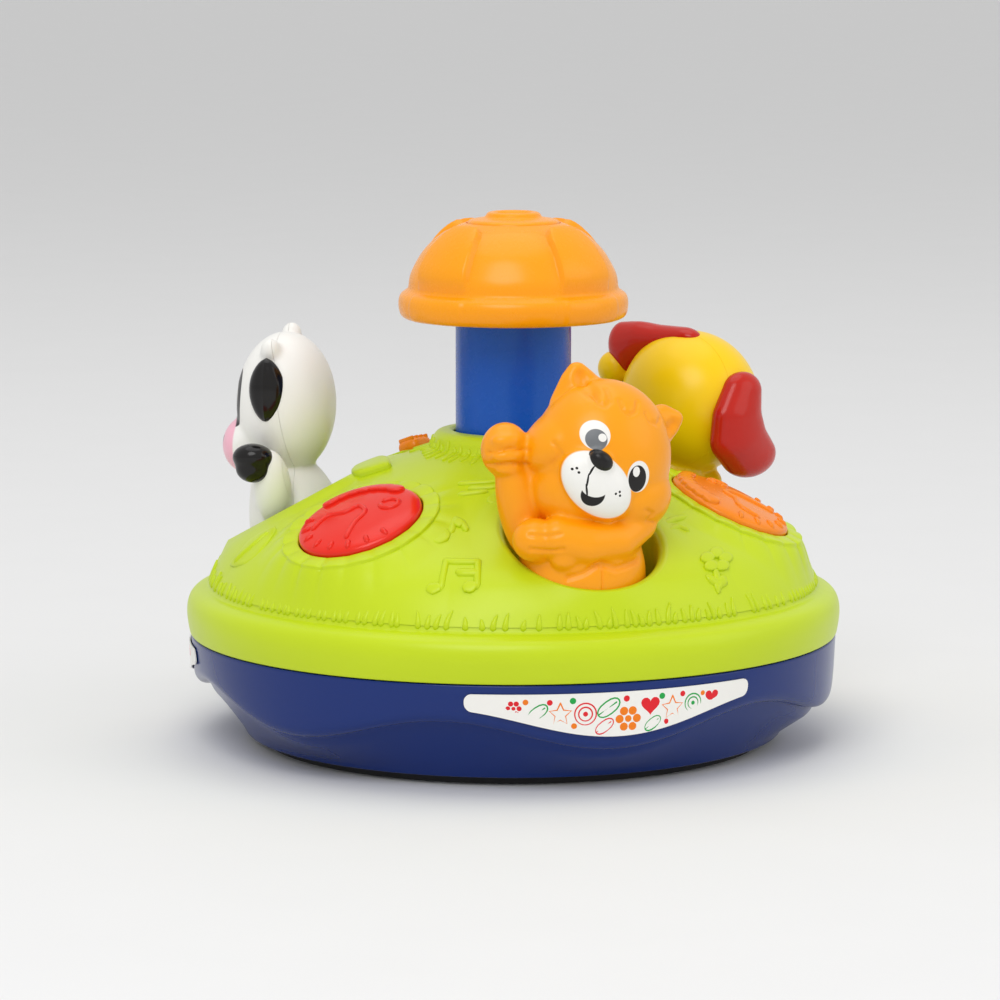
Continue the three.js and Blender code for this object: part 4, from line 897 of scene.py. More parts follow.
def button_rows():
    """Rings of a button seat from inside its sleeve over the petal ring and down to its outer edge"""
    edge = PETAL_HEIGHT * PETAL_EDGE_SHARE
    rows = [(SLEEVE_RADIUS, -SLEEVE_DEPTH), (SLEEVE_RADIUS, PETAL_HEIGHT - edge)]
    bend = [polar(edge, math.pi / 2 * k / PETAL_STEPS) for k in range(PETAL_STEPS + 1)]
    rows += [(SLEEVE_RADIUS + edge - along, PETAL_HEIGHT - edge + up) for along, up in bend[1:]]
    rows += [(PETAL_RADIUS - edge + up, PETAL_HEIGHT - edge + along) for along, up in bend]
    return rows


def petal_wave(turn, inner):
    """1 along a petal and 0 in the groove between two, weaker at the sleeve"""
    wave = abs(math.sin(sizes().petals * turn / 2)) ** PETAL_GROOVE_POWER
    return 1 - (1 - wave) * (PETAL_INNER_SHARE if inner else 1)


def seat_loops(edge, rows, centre, tilt, bottom, mound):
    """Rings of a well or a button seat, point for point towards the edge of its sector"""
    height = cone_height(centre) - (WELL_DROP if mound else 0)
    lean = math.radians(tilt)
    for radius, rise in rows:
        loop = []
        for turn, _ in edge:
            x, y = radius * math.cos(turn), radius * math.sin(turn) * (WELL_STRETCH_SHARE if mound else 1)
            lift = rise
            if not mound and rise > 0:
                wave = petal_wave(turn, radius < SLEEVE_RADIUS + PETAL_GROOVE)
                scale = 1 - PETAL_SCALLOP_SHARE * (1 - wave)
                x, y = x * scale, y * scale
                lift = rise * (PETAL_LOW_SHARE + (1 - PETAL_LOW_SHARE) * wave)
            if rise is None:
                loop.append((x, y * math.cos(lean) - centre, bottom))
                continue
            out = y * math.cos(lean) - lift * math.sin(lean)
            up = y * math.sin(lean) + lift * math.cos(lean)
            loop.append((x, out - centre, up + height))
        yield loop


def sector(name, rows, centre, tilt, bottom, mound, azimuth):
    """One sixth of the dome around its seat"""
    edge = sector_edge()
    loops = list(seat_loops(edge, rows, centre, tilt, bottom, mound))
    foot = loops[-1]
    if not mound:
        foot = [(x, y, max(z - PETAL_WALL, dome_height(x, y))) for x, y, z in foot]
        loops.append(foot)
    for k in range(1, SECTOR_RINGS + 1):
        share = (k / SECTOR_RINGS) ** SECTOR_EASE
        loop = []
        for (x, y, z), (_, point) in zip(foot, edge):
            start = Vector((x, y))
            place = start.lerp(point, share)
            reach = min(MOUND_REACH, (point - start).length)
            left = 1 - smooth_between(0, reach, (place - start).length)
            surface = dome_height(place.x, place.y) + (z - dome_height(x, y)) * left
            loop.append((place.x, place.y, surface))
        loops.append(loop)
    vertices = [place for loop in loops for place in loop]
    return new_object(name, vertices, strip_faces(len(loops), len(edge)), turn_to(azimuth))


class TOP_OT_dome(bpy.types.Operator):
    """Makes the green dome with its wells, button seats, rim and collar"""
    bl_idname = "top.dome"
    bl_label = "Dome"

    def execute(self, context):
        parts = [sector("well", well_rows(), WELL_CENTRE, WELL_TILT, WELL_BOTTOM, True, azimuth)
                 for azimuth in FIGURES.values()]
        parts += [sector("seat", button_rows(), BUTTON_CENTRE, BUTTON_TILT, 0, False, azimuth)
                  for azimuth in BUTTONS.values()]
        dome = tidy(joined_object("dome_skin", parts), DOME_MERGE_REACH)
        lime = finish("lime")
        piece(dome, "rotor", lime, ["dome_cover"], DOME_SMOOTH)
        for name, line in (("dome_rim", RIM_LINE), ("dome_collar", COLLAR_LINE)):
            piece(turned_object(name, rounded(line), sizes().facets), "rotor", lime)
        pictures = relief_object("dome_pictures", dome_pictures(sizes().relief))
        grass = relief_object("dome_grass", grass_blades(sizes().grass))
        for relief in (pictures, grass):
            piece(relief, "rotor", lime, (), FORM_SMOOTH)
        return {"FINISHED"}


# Base

BASE_WAVES = 6
WAVE_HEIGHTS = (0.014, 0.023)
FLOOR_LEVELS = (0.0068, 0.0092)
SKIRT_TOP_LINE = [(0.1042, 0.0357, 0), (0.1062, 0.0357, 0.0005), (0.1066, 0.0352, 0.0005)]
# Lines that follow the wave, with heights above its edge
SKIRT_EDGE_LINE = [
    (0.106, 0.0065, 0.006), (0.1054, 0.0022, 0.0015), (0.1037, 0.0002, 0.0015), (0.1007, 0.0004, 0.0012),
    (0.099, -0.003, 0.002)
]
SKIRT_INNER_LINE = [(0.0966, 0.0012, 0), (0.103, 0.005, 0)]
SKIRT_FOOT_LINE = [
    (0.0896, 0.005, 0.003), (0.0886, 0.003, 0.0006), (0.0866, 0.003, 0.0006),
    (0.0866, FLOOR_LEVELS[0], 0.0006)
]
SKIRT_WALL = 0.0027
SKIRT_STEPS = 4
HUB_RADII = (0.0242, 0.027, 0.03)
HUB_LEVELS = (0.033, 0.036, 0.052)
HUB_FACETS = 96
BOSS_RING = 0.078
BOSS_RADII = (0.0042, 0.0055)
BOSS_TOP = 0.047
BOSS_RECESS_TOP = 0.044
BRACKET_LOW = (0.0242, -0.071, 0.0089)
BRACKET_HIGH = (0.0282, -0.061, 0.0492)
BRACKET_BEVEL = 0.0005
DOOR_PLACE = (0.0, 0.052)
BOX_HALF = (0.0274, 0.02065)
ROOM_HALF = (0.0234, 0.01665)
OPENING_HALF = (0.0253, 0.01855)
BOX_TOPS = (0.0218, 0.0233)
TAB_CENTRE = 0.031
TAB_RADIUS = 0.0035
TAB_RADII = (0.0037, 0.0038)
TAB_TOP = 0.0192
SPEAKER_RING = 0.06
SPEAKER_WALL = (0.0204, 0.022)
SPEAKER_TOP = 0.0122
GRILLE_SLOTS = 5
GRILLE_PITCH = 0.0056
GRILLE_HALF = (0.012, 0.0011)
BOARD_RING = 0.062
PEG_PLACE = (0.018, 0.011)
PEG_RADIUS = 0.0024
PEG_TOP = 0.0147
PEG_FACETS = 16
PIN_RING = 0.066
PIN_HEIGHT = 0.045
PIN_BORE = (0.0023, 0.03)
OVERRUN = 0.002
OVERLAP = 0.0003
BOSS_SINK = 0.0001


def wave_height(angle):
    share = 0.5 - 0.5 * math.cos(BASE_WAVES * (angle - math.radians(LOOK_AZIMUTH)))
    return WAVE_HEIGHTS[0] + (WAVE_HEIGHTS[1] - WAVE_HEIGHTS[0]) * share


def above(line, height):
    return [(r, height + rise, fillet) for r, rise, fillet in line]


def skirt_line(edge):
    """Closed outline of the skirt and floor where the wave's edge is at this height"""
    bend, corner = SKIRT_EDGE_LINE[-1], SKIRT_FOOT_LINE[0]
    climb = (FLOOR_LEVELS[1] - corner[1]) / (edge + bend[1] - corner[1])
    foot = corner[0] + (bend[0] - corner[0]) * climb - SKIRT_WALL
    hub = (HUB_RADII[1] + HUB_RADII[2]) / 2
    return rounded([
        *SKIRT_TOP_LINE, *above(SKIRT_EDGE_LINE, edge), *SKIRT_FOOT_LINE, (hub, FLOOR_LEVELS[0], 0),
        (hub, FLOOR_LEVELS[1], 0), (foot, FLOOR_LEVELS[1], 0), *above(SKIRT_INNER_LINE, edge),
        SKIRT_TOP_LINE[0]
    ], SKIRT_STEPS)


def skirt_object():
    facets = sizes().facets
    lines = [skirt_line(wave_height(FULL_TURN * j / facets)) for j in range(facets)]
    return turned_object(
        "base_skin", lines[0], facets, lambda angle, i, r, z: lines[round(angle * facets / FULL_TURN)][i])


def boss_rods(radius, low, high):
    for azimuth in BOSS_AZIMUTHS:
        yield rod(radius, low, high, polar(BOSS_RING, math.radians(azimuth)))


def figure_matrix(azimuth):
    return turn_to(azimuth) @ Matrix.Translation((0, -PIN_RING, PIN_HEIGHT))


def base_additions():
    """What stands on the base's floor: hub, bosses, brackets, battery box, catch, pegs and speaker wall"""
    floor = FLOOR_LEVELS[1] - OVERLAP
    step, inner, outer = HUB_RADII
    low, high, top = HUB_LEVELS
    yield turned_object("hub", [
        (inner, floor - OVERRUN), (outer, floor - OVERRUN), (outer, top), (inner, top), (inner, high),
        (step, high), (step, low), (inner, low), (inner, floor - OVERRUN)
    ], HUB_FACETS)
    yield from boss_rods(BOSS_RADII[1], FLOOR_LEVELS[0] + BOSS_SINK, BOSS_TOP)
    for azimuth in FIGURES.values():
        for side in (-1, 1):
            low, high = Vector(BRACKET_LOW), Vector(BRACKET_HIGH)
            low.x, high.x = min(side * low.x, side * high.x), max(side * low.x, side * high.x)
            yield box_object("bracket", low, high, BRACKET_BEVEL, 2, turn_to(azimuth))
    yield block(DOOR_PLACE, BOX_HALF, floor, BOX_TOPS[1])
    yield rod(TAB_RADII[0], floor, TAB_TOP, (0, TAB_CENTRE))
    x, y = PEG_PLACE
    for across in (-x, x):
        for up in (-y, y):
            peg = rod(PEG_RADIUS, floor, PEG_TOP, (across, up - BOARD_RING), PEG_FACETS)
            peg.matrix_world = turn_to(BOARD_AZIMUTH) @ peg.matrix_world
            yield peg
    place = turn_to(SPEAKER_AZIMUTH) @ Matrix.Translation((0, -SPEAKER_RING, 0))
    yield ring(*SPEAKER_WALL, floor, SPEAKER_TOP, place)


def base_removals():
    """What is cut out of the base: battery room and opening, catch, screw recesses, pin bores and grille"""
    low, high = FLOOR_LEVELS[0] - OVERRUN, FLOOR_LEVELS[1] + OVERRUN
    yield block(DOOR_PLACE, ROOM_HALF, low, BOX_TOPS[0])
    yield block(DOOR_PLACE, OPENING_HALF, low, FLOOR_LEVELS[1])
    yield rod(TAB_RADII[1], low, FLOOR_LEVELS[1], (0, TAB_CENTRE))
    yield from boss_rods(BOSS_RADII[0], low, BOSS_RECESS_TOP)
    radius, reach = PIN_BORE
    for azimuth in FIGURES.values():
        bore = rod(radius, -reach, reach)
        bore.matrix_world = figure_matrix(azimuth) @ Matrix.Rotation(math.pi / 2, 4, "Y")
        yield bore
    for k in range(GRILLE_SLOTS):
        shift = (k - (GRILLE_SLOTS - 1) / 2) * GRILLE_PITCH
        place = Matrix.Translation((0, shift - SPEAKER_RING, 0))
        yield block((0, 0), GRILLE_HALF, low, high, turn_to(SPEAKER_AZIMUTH) @ place)


class TOP_OT_base(bpy.types.Operator):
    """Makes the blue base shell with its wavy skirt, bosses, brackets, battery box and speaker grille"""
    bl_idname = "top.base"
    bl_label = "Base"

    def execute(self, context):
        base = skirt_object()
        for shape in base_additions():
            cut(base, shape, "UNION")
        for shape in base_removals():
            cut(base, shape)
        piece(tidy(base), "rotor", finish("deep_blue"), ["base_shell"])
        return {"FINISHED"}


# Labels on the skirt and their printed motifs

LABEL_HALF_ANGLE = 26
LABEL_TOP = 0.033
LABEL_EDGE_RISE = 0.005
LABEL_GAP = 0.00035
LABEL_FILM = 0.0004
LABEL_CORNER = 0.0024
LABEL_COLUMNS = 96
SKIRT_RADII = (0.106, 0.1066)
SKIRT_BAND = (0.0065, 0.0352)
PRINT_LINE_HALF = 0.00027
INKS = ("print_red", "print_green", "print_orange")
# Printed motifs: kind, place along and up the label in millimetres, size and ink
MOTIFS = [
    ("flower", -33, 28.6, 2.8, "print_red"), ("leaf", -25.5, 27.3, 3.6, "print_green"),
    ("star", -18.5, 26.6, 3.6, "print_orange"), ("rings", -10.6, 26.5, 3.6, "print_red"),
    ("leaf", -3.2, 28.2, 4.2, "print_green"), ("flower", 3.2, 24.4, 4.6, "print_orange"),
    ("leaf", -4.5, 22.4, 3.4, "print_red"), ("heart", 10.6, 28.3, 3.2, "print_red"),
    ("leaf", 11.5, 22.4, 3.2, "print_green"), ("star", 18.3, 26.8, 3.8, "print_orange"),
    ("rings", 25.8, 27.6, 3.1, "print_green"), ("heart", 33, 29, 2.6, "print_red"),
    ("dot", -29.3, 30.6, 0.9, "print_orange"), ("dot", -21.8, 30.4, 0.9, "print_red"),
    ("dot", -14.6, 30.8, 1, "print_green"), ("dot", 2.6, 30.8, 1, "print_red"),
    ("dot", 14.6, 30.8, 1, "print_green"), ("dot", 21.9, 30.9, 0.9, "print_red"),
    ("dot", 29.4, 30.4, 0.8, "print_orange"), ("dot", -14.2, 22.8, 1, "print_orange"),
    ("dot", 16.2, 22.6, 0.9, "print_red")
]
# Shares of a motif's size
LEAF_COUNT = 16
LEAF_POWER = 0.8
LEAF_LONG_SHARES = (0.8, 0.55)
LEAF_WIDE_SHARES = (0.252, 0.42)
LEAF_VEIN_SHARES = ((-0.75, -0.5), (0.6, 0.4))
PETAL_COUNT = 6
PETAL_PLACE_SHARE = 0.62
PETAL_SIZE_SHARE = 0.3
PETAL_FACETS = 14
EYE_SHARE = 0.24
STAR_POINTS = 5
STAR_INNER_SHARE = 0.48
RING_SHARES = (0.95, 0.6)
RING_FACETS = 28
RING_EYE_SHARE = 0.22
HEART_COUNT = 24
HEART_WIDTH = 16
HEART_WAVES = (13, -5, -2, -1)
LINE_SHARE = 0.055
THIN_LINE_SHARE = 0.05


def on_skirt(azimuth):
    """Places on a label from their arc along it, their height and their rise"""
    turn = turn_to(azimuth).to_3x3()

    def place(point, rise):
        angle = math.radians(LOOK_AZIMUTH) + point[0] / SKIRT_RADII[1]
        band = (wave_height(angle) + SKIRT_BAND[0], SKIRT_BAND[1])
        r = float(np.interp(point[1], band, SKIRT_RADII)) + LABEL_GAP + LABEL_FILM + rise
        return turn @ Vector((*polar(r, angle), point[1]))
    return place


def label_object(name, azimuth):
    """A curved film with rounded corners"""
    place = on_skirt(azimuth)
    end = math.radians(LABEL_HALF_ANGLE) * SKIRT_RADII[1]
    vertices = []
    for i in range(LABEL_COLUMNS + 1):
        s = end * math.sin(math.pi / 2 * (2 * i / LABEL_COLUMNS - 1))
        near = max(LABEL_CORNER - (end - abs(s)), 0)
        inset = LABEL_CORNER - math.sqrt(LABEL_CORNER ** 2 - near ** 2)
        low = wave_height(math.radians(LOOK_AZIMUTH) + s / SKIRT_RADII[1]) + LABEL_EDGE_RISE + inset
        high = LABEL_TOP - inset
        vertices += [
            place((s, low), -LABEL_FILM), place((s, low), 0), place((s, high), 0),
            place((s, high), -LABEL_FILM)]
    last = 4 * LABEL_COLUMNS
    faces = strip_faces(LABEL_COLUMNS + 1, 4) + [(0, 1, 2, 3), (last + 3, last + 2, last + 1, last)]
    return relief_object(name, (vertices, faces))


def dot_motif(x, y, size):
    return [oval((x, y), (size, size))], []


def leaf_motif(x, y, size):
    (long_x, long_y), (wide_x, wide_y) = LEAF_LONG_SHARES, LEAF_WIDE_SHARES
    outline = []
    for k in range(LEAF_COUNT):
        along, across = polar(1, FULL_TURN * k / LEAF_COUNT)
        reach = math.copysign(abs(along) ** LEAF_POWER, along)
        outline.append(np.array((x, y)) + size * np.array((
            reach * long_x - wide_x * across, reach * long_y + wide_y * across)))
    vein = [(x + size * right, y + size * up) for right, up in LEAF_VEIN_SHARES]
    return [], [(outline + outline[:1], LINE_SHARE), (vein, THIN_LINE_SHARE)]


def flower_motif(x, y, size):
    plates = []
    for k in range(PETAL_COUNT):
        across, up = polar(size * PETAL_PLACE_SHARE, FULL_TURN * k / PETAL_COUNT)
        petal = size * PETAL_SIZE_SHARE
        plates.append(oval((x + across, y + up), (petal, petal), count=PETAL_FACETS))
    return plates + [oval((x, y), (size * EYE_SHARE, size * EYE_SHARE))], []


def star_motif(x, y, size):
    corners = []
    for k in range(2 * STAR_POINTS):
        reach = size * (STAR_INNER_SHARE if k % 2 else 1)
        corners.append(np.array((x, y)) + polar(reach, math.pi * k / STAR_POINTS + math.pi / 2))
    return [], [(corners + corners[:1], LINE_SHARE)]


def rings_motif(x, y, size):
    loops = [oval((x, y), (size * share, size * share), count=RING_FACETS) for share in RING_SHARES]
    eye = size * RING_EYE_SHARE
    return [oval((x, y), (eye, eye))], [(loop + loop[:1], THIN_LINE_SHARE) for loop in loops]


def heart_motif(x, y, size):
    outline = []
    for k in range(HEART_COUNT):
        turn = FULL_TURN * k / HEART_COUNT
        tall = sum(wave * math.cos((i + 1) * turn) for i, wave in enumerate(HEART_WAVES)) / HEART_WIDTH
        outline.append(np.array((x + size * math.sin(turn) ** 3, y + size * tall)))
    return [outline], []


MOTIF_MAKERS = {
    "dot": dot_motif, "leaf": leaf_motif, "flower": flower_motif, "star": star_motif, "rings": rings_motif,
    "heart": heart_motif
}


class TOP_OT_labels(bpy.types.Operator):
    """Makes the white labels on the base and the motifs printed on them"""
    bl_idname = "top.labels"
    bl_label = "Labels"

    def execute(self, context):
        height = sizes().prints
        for name, azimuth in FIGURES.items():
            place = on_skirt(azimuth)
            label = label_object(f"{name}_label", azimuth)
            piece(label, "rotor", finish("label"), [f"label_{name}"], FILM_SMOOTH)
            for ink in INKS:
                shapes = ([], [])
                for kind, x, y, size, used in MOTIFS:
                    if used != ink:
                        continue
                    plates, lines = MOTIF_MAKERS[kind](x * MM, y * MM, size * MM)
                    for plate in plates:
                        raised(shapes, plate, place, height)
                    for line, share in lines:
                        ridge(shapes, line, max(share * size * MM, PRINT_LINE_HALF), place, height)
                piece(relief_object(f"{name}_{ink}", shapes), "rotor", finish(ink))
        return {"FINISHED"}


# Cap and column

CAP_LOBES = 4
LOBE_AZIMUTH = -62.6
LOBE_HALF_ANGLE = 19.5
LOBE_RAMP_SHARE = 0.13
LOBE_ENDS = (0.0195, 0.031)
LOBE_POWER = 4
LOBE_RISE = 0.0026
LOBE_FOOT = (0.1483, 0.158)
LOBE_LEAN = (0.152, 0.17)
LOBE_TOP_SHARE = 0.75
BEAD_STEP = 0.0006
BEAD_RADII = (0.0345, 0.0365)
CAP_LINE = [
    (0.0335, 0.1395, 0), (0.0352, 0.139, 0.001), (0.0372, 0.1401, 0.0022), (0.0379, 0.1437, 0.003),
    (0.0374, 0.1468, 0.0022), (0.0357, 0.1481, 0.001), (0.0345, 0.1489, 0.001),
    (0.0341, 0.153, 0.003), (0.0325, 0.1565, 0.004), (0.0292, 0.1621, 0.005), (0.0228, 0.1676, 0.006),
    (0.0165, 0.1701, 0.003), (0.0155, 0.1705, 0.0004), (0.0155, 0.1686, 0)
]
CAP_STEPS = 6
CROWN_LINE = [
    (0, 0.1686, 0), (0.0152, 0.1686, 0), (0.0152, 0.1706, 0.0006), (0.0142, 0.1714, 0.0006),
    (0.0094, 0.1722, 0.0008), (0.0086, 0.1736, 0.0006), (0.0074, 0.174, 0.0005), (0.0062, 0.1736, 0.0006),
    (0.0054, 0.1727, 0.0006), (0, 0.1729, 0)
]
COLUMN_LINE = [
    (0.0165, 0.0743, 0), (0.019, 0.0743, 0.0004), (0.019, 0.1435, 0.0008), (0.023, 0.1435, 0.0004),
    (0.023, 0.146, 0)
]


def lobe_share(angle, r):
    """1 on a lobe and 0 outside its rounded tongue, which reaches up to a radius near the crown"""
    pitch = 360 / CAP_LOBES
    away = abs((math.degrees(angle) - LOBE_AZIMUTH + pitch / 2) % pitch - pitch / 2) / LOBE_HALF_ANGLE
    climb = min(max((LOBE_ENDS[1] - r) / (LOBE_ENDS[1] - LOBE_ENDS[0]), 0), 2)
    reach = (away ** LOBE_POWER + climb ** LOBE_POWER) ** (1 / LOBE_POWER)
    return 1 - smooth_between(1 - LOBE_RAMP_SHARE, 1, reach)


def cap_wave(angle, i, r, z):
    """Lobes swell above the bead, and the bead has a small step below each"""
    if z > LOBE_FOOT[0]:
        swell = LOBE_RISE * lobe_share(angle, r) * smooth_between(*LOBE_FOOT, z)
        lean = smooth_between(*LOBE_LEAN, z)
        return r + swell * (1 - LOBE_TOP_SHARE * lean), z + swell * lean
    return r + BEAD_STEP * lobe_share(angle, CAP_LINE[0][0]) * smooth_between(*BEAD_RADII, r), z


class TOP_OT_cap(bpy.types.Operator):
    """Makes the orange mushroom cap, its crown and the blue column"""
    bl_idname = "top.cap"
    bl_label = "Cap and column"

    def execute(self, context):
        orange = finish("orange")
        facets = sizes().facets
        cap = turned_object("cap_skin", rounded(CAP_LINE, CAP_STEPS), facets * 2, cap_wave)
        piece(cap, "plunger", orange, ["cap_shell"])
        crown = turned_object("crown_disc", rounded(CROWN_LINE), facets // 2)
        piece(crown, "plunger", orange, ["cap_crown"])
        column = turned_object("column_tube", rounded(COLUMN_LINE), facets // 2)
        piece(column, "plunger", finish("blue"), ["column"])
        return {"FINISHED"}


# Buttons

BUTTON_LOOKS = {
    "orange": ("deep_orange", "orange_plastic"), "purple": ("purple", "purple_plastic"),
    "red": ("red", "red_plastic")
}
BUTTON_LINE = [
    (0.0187, -0.0053, 0), (0.0224, -0.0053, 0.0002), (0.0224, -0.0038, 0.0002), (0.0205, -0.0038, 0),
    (0.0205, 0.0021, 0.0009), (0.0188, 0.0033, 0.002), (0.0125, 0.0045, 0.005), (0.005, 0.005, 0.003),
    (0, 0.005, 0)
]
BUTTON_CROWN_FOOT = 0.002
PAD_RADII = (0.0192, 0.0216)
PAD_LEVELS = (-0.0131, -0.0056)
# Lines raised on a button, in millimetres to the viewer's right and up the slope
BUTTON_CURVE = [
    (-10.4, -10.7), (-10, -3.7), (-4.6, -0.8), (-2.7, 3.3), (0, 3.1), (3, 0.5), (3.8, -5.6), (6.1, -12.7)
]
CURL_CENTRE = (7.6, 7.7)
CURL_RADIUS = 3
CURL_TURNS = (-2.4, 2.9)
CURL_POINTS = 18
SCALLOP_TURNS = range(84, 163, 13)
SCALLOP_RING = 0.0172
SCALLOP_HALF = (0.0026, 0.0034)
SCALLOP_SHARE = 1.3
TAB_TURNS = range(200, 341, 20)
TAB_REACH = (0.0166, 0.0186)
BUTTON_CURVE_HALF = 0.0009
BUTTON_RISE = 0.0008


def button_relief(name, place):
    """The curl, scallops and short bars raised on a button's crown"""
    line = np.array([(r, z) for r, z in rounded(BUTTON_LINE) if z > BUTTON_CROWN_FOOT][::-1])

    def crown(point, rise):
        height = float(np.interp(math.hypot(*point), line[:, 0], line[:, 1]))
        return Vector((*point, height + rise))
    shapes = ([], [])
    curl = [polar(CURL_RADIUS, turn) for turn in np.linspace(*CURL_TURNS, CURL_POINTS)]
    lines = [curve_through(BUTTON_CURVE, False), [np.array(CURL_CENTRE) + point for point in curl]]
    for points in lines:
        ridge(shapes, [np.array(point) * MM for point in points], BUTTON_CURVE_HALF, crown, BUTTON_RISE)
    for degrees in SCALLOP_TURNS:
        centre = polar(SCALLOP_RING, math.radians(degrees))
        raised(shapes, oval(centre, SCALLOP_HALF, degrees), crown, BUTTON_RISE * SCALLOP_SHARE)
    for degrees in TAB_TURNS:
        bar = [polar(r, math.radians(degrees)) for r in TAB_REACH]
        ridge(shapes, bar, BUTTON_CURVE_HALF, crown, BUTTON_RISE)
    return relief_object(name, shapes, place)


class TOP_OT_buttons(bpy.types.Operator):
    """Makes the three press buttons, the lines raised on them and their rubber pads"""
    bl_idname = "top.buttons"
    bl_label = "Buttons"

    def execute(self, context):
        low, high = PAD_LEVELS
        for name, azimuth in BUTTONS.items():
            place = seat(BUTTON_CENTRE, cone_height(BUTTON_CENTRE), BUTTON_TILT, azimuth)
            shade, slot = BUTTON_LOOKS[name]
            button = turned_object(f"{name}_cap", rounded(BUTTON_LINE), sizes().facets // 2, None, place)
            piece(button, f"{name}_button", finish(shade), [f"{name}_button"])
            relief = button_relief(f"{name}_relief", place)
            piece(relief, f"{name}_button", finish(shade), (), FORM_SMOOTH)
            pad = ring(*PAD_RADII, low, high, place, f"{name}_pad_skin")
            piece(pad, "rotor", finish("rubber"), [f"{name}_pad"])
            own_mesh(pad)
        return {"FINISHED"}


# Figures, in millimetres from the pin: centre, half sizes and roll to the viewer's right of each rounded form

BEAR_FORMS = [
    [(4, -11, 57), (22.5, 20, 25.2), 10], [(-8.5, -11, 64), (15, 13, 9), -35],
    [(-5, -13, 48), (15, 15, 13), 0], [(11, -13.5, 46), (15, 15, 13), 0],
    [(-2.5, -26.5, 51), (13.5, 6.5, 9.5), 42], [(-2.6, -31.6, 59.2), (4.2, 3, 3), 35],
    [(-26.4, -8, 60.5), (7.8, 7.4, 8.8), 0], [(-27.5, -13, 64), (5.2, 3, 2.6), 0],
    [(-27.2, -13.4, 59.3), (5.6, 3, 2.5), 0], [(-26.5, -12.2, 55), (4.6, 3, 2.3), 0],
    [(-22, -9, 42), (6.8, 6.8, 18), -13], [(-18, -9, 46), (6, 6, 12), -10],
    [(-2.5, -13, 20), (20.5, 15.5, 24), 0], [(-20.5, -20.5, 33.5), (7.4, 6.6, 7), 0],
    [(-12.5, -25, 27.5), (4.5, 3.6, 3.4), 0]
]
BEAR_LIMBS = [
    [[(-1, -7, 75.5), (10.5, 5, 6), -8], [(-2.2, -7, 81), (6, 4.2, 5), -8],
     [(-2.6, -7, 84.8), (3, 3, 2.6), -8]],
    [[(22, -9, 63), (5.5, 5, 11), 22], [(26.6, -9, 66.3), (4.2, 4, 6), 35],
     [(29.8, -9, 68.4), (2.4, 2.8, 2.6), 35]],
    [[(14, -18, 37), (6, 7, 6), 20], [(5, -22.5, 32.5), (7, 7, 6.6), 10], [(-5, -24.5, 32), (7, 6.6, 7), 0],
     [(-14, -23.5, 34), (6.5, 6, 7), 0]]
]
DOG_FORMS = [
    [(-7.5, -15.5, 60), (25, 22, 24.2), -15], [(-6, -35, 53), (10.5, 9, 8.4), -15],
    [(-6, -42, 57), (3.8, 2.6, 2.8), -15], [(21.5, -9, 69.6), (5.6, 5.6, 6.2), 0],
    [(20, -9, 45), (6, 6, 23), 5], [(0.5, -19, 33), (19, 6.7, 6.7), 0],
    [(13.5, -20, 33.5), (7, 7, 6.7), 0]
]
DOG_EARS = {
    "dog_hanging_ear": [
        [(-31, -14.5, 65), (5.6, 8.5, 7), 0], [(-31.5, -11.5, 57), (6, 11, 8), 0],
        [(-31, -13, 49), (6.6, 13, 8.8), 0], [(-30, -19.6, 43), (6.6, 12.6, 7.8), 0]
    ],
    "dog_raised_ear": [
        [(17.5, -11, 77), (6.6, 5.6, 9), 12], [(11, -11, 80.3), (7, 5.4, 6.2), 0],
        [(3, -11.5, 81.4), (7, 5, 4.4), -6], [(-8.5, -12, 82.8), (6, 4.4, 2.8), -8]
    ],
}
COW_FORMS = [
    [(1, -11, 64), (19, 16.5, 24), 0], [(1, -23.5, 50), (13, 9, 10), 0],
    [(-10, -12, 85.5), (3.6, 3.6, 4.6), -8], [(13, -13, 82.5), (3.6, 3.6, 4.6), 24],
    [(19.5, -11, 38), (6.2, 6.4, 14), 20], [(-0.5, -15, 33), (18, 6.4, 6.7), 0],
    [(-13.5, -16, 33.5), (7, 7, 6.7), 0]
]
COW_HOOF = [[(25, -16, 48.5), (6.7, 6.9, 4.8), -12], [(25, -16, 45), (5.6, 5.9, 4.8), -12]]
COW_EARS = {"cow_left_ear": -1, "cow_right_ear": 1}
COW_EAR_PLACE = (17.6, -13.2, 70)
COW_EAR_HALF = (6.1, 10.8)
COW_EAR_BULGE = 4.6
# Grooves and dents in the front of a figure: points of (x, z), half width and depth
BEAR_GROOVES = [
    ([(-1.4, 78.6), (-0.8, 76), (0.9, 75.1), (2.8, 76.5), (3, 79.7)], 1.1, 0.7),
    ([(6.1, 76.5), (6.7, 73.8), (8.4, 72.4), (10.9, 73.2), (12.3, 75.7)], 1.1, 0.7),
    ([(14.6, 72.4), (15.7, 70), (18.5, 68.7), (20.5, 70)], 1.1, 0.6),
    ([(-15, 64), (-13, 60.5), (-15.5, 57)], 1, 0.5),
    ([(13.5, 42.5), (16, 41), (14.5, 38.5), (17.5, 38)], 1, 0.6),
    ([(12, 26), (4, 24.5), (-2, 26.5), (-7, 23.5), (-12, 22)], 1.6, 1),
    ([(-33, 60.5), (-27.5, 61.8), (-21, 61)], 0.9, 0.6),
    ([(-33, 56.5), (-27, 57.3), (-21, 56.5)], 0.9, 0.7),
    ([(-24, 36), (-19, 35.6), (-15, 36.4)], 1, 0.6), ([(-24, 31.6), (-18, 31), (-14, 31.6)], 1, 0.6),
    ([(-1, 25), (-1, 12)], 0.8, 0.5), ([(-1.6, 79.5), (-2.2, 83)], 3.6, 1.5),
    ([(25.8, 65.3), (28, 67)], 3.2, 1.4)
]
WHISKER_DOTS = [(-11.7, 56.7), (-10.4, 57), (-9.9, 55.7), (1.8, 48.7), (3.2, 49.2), (3.3, 48)]
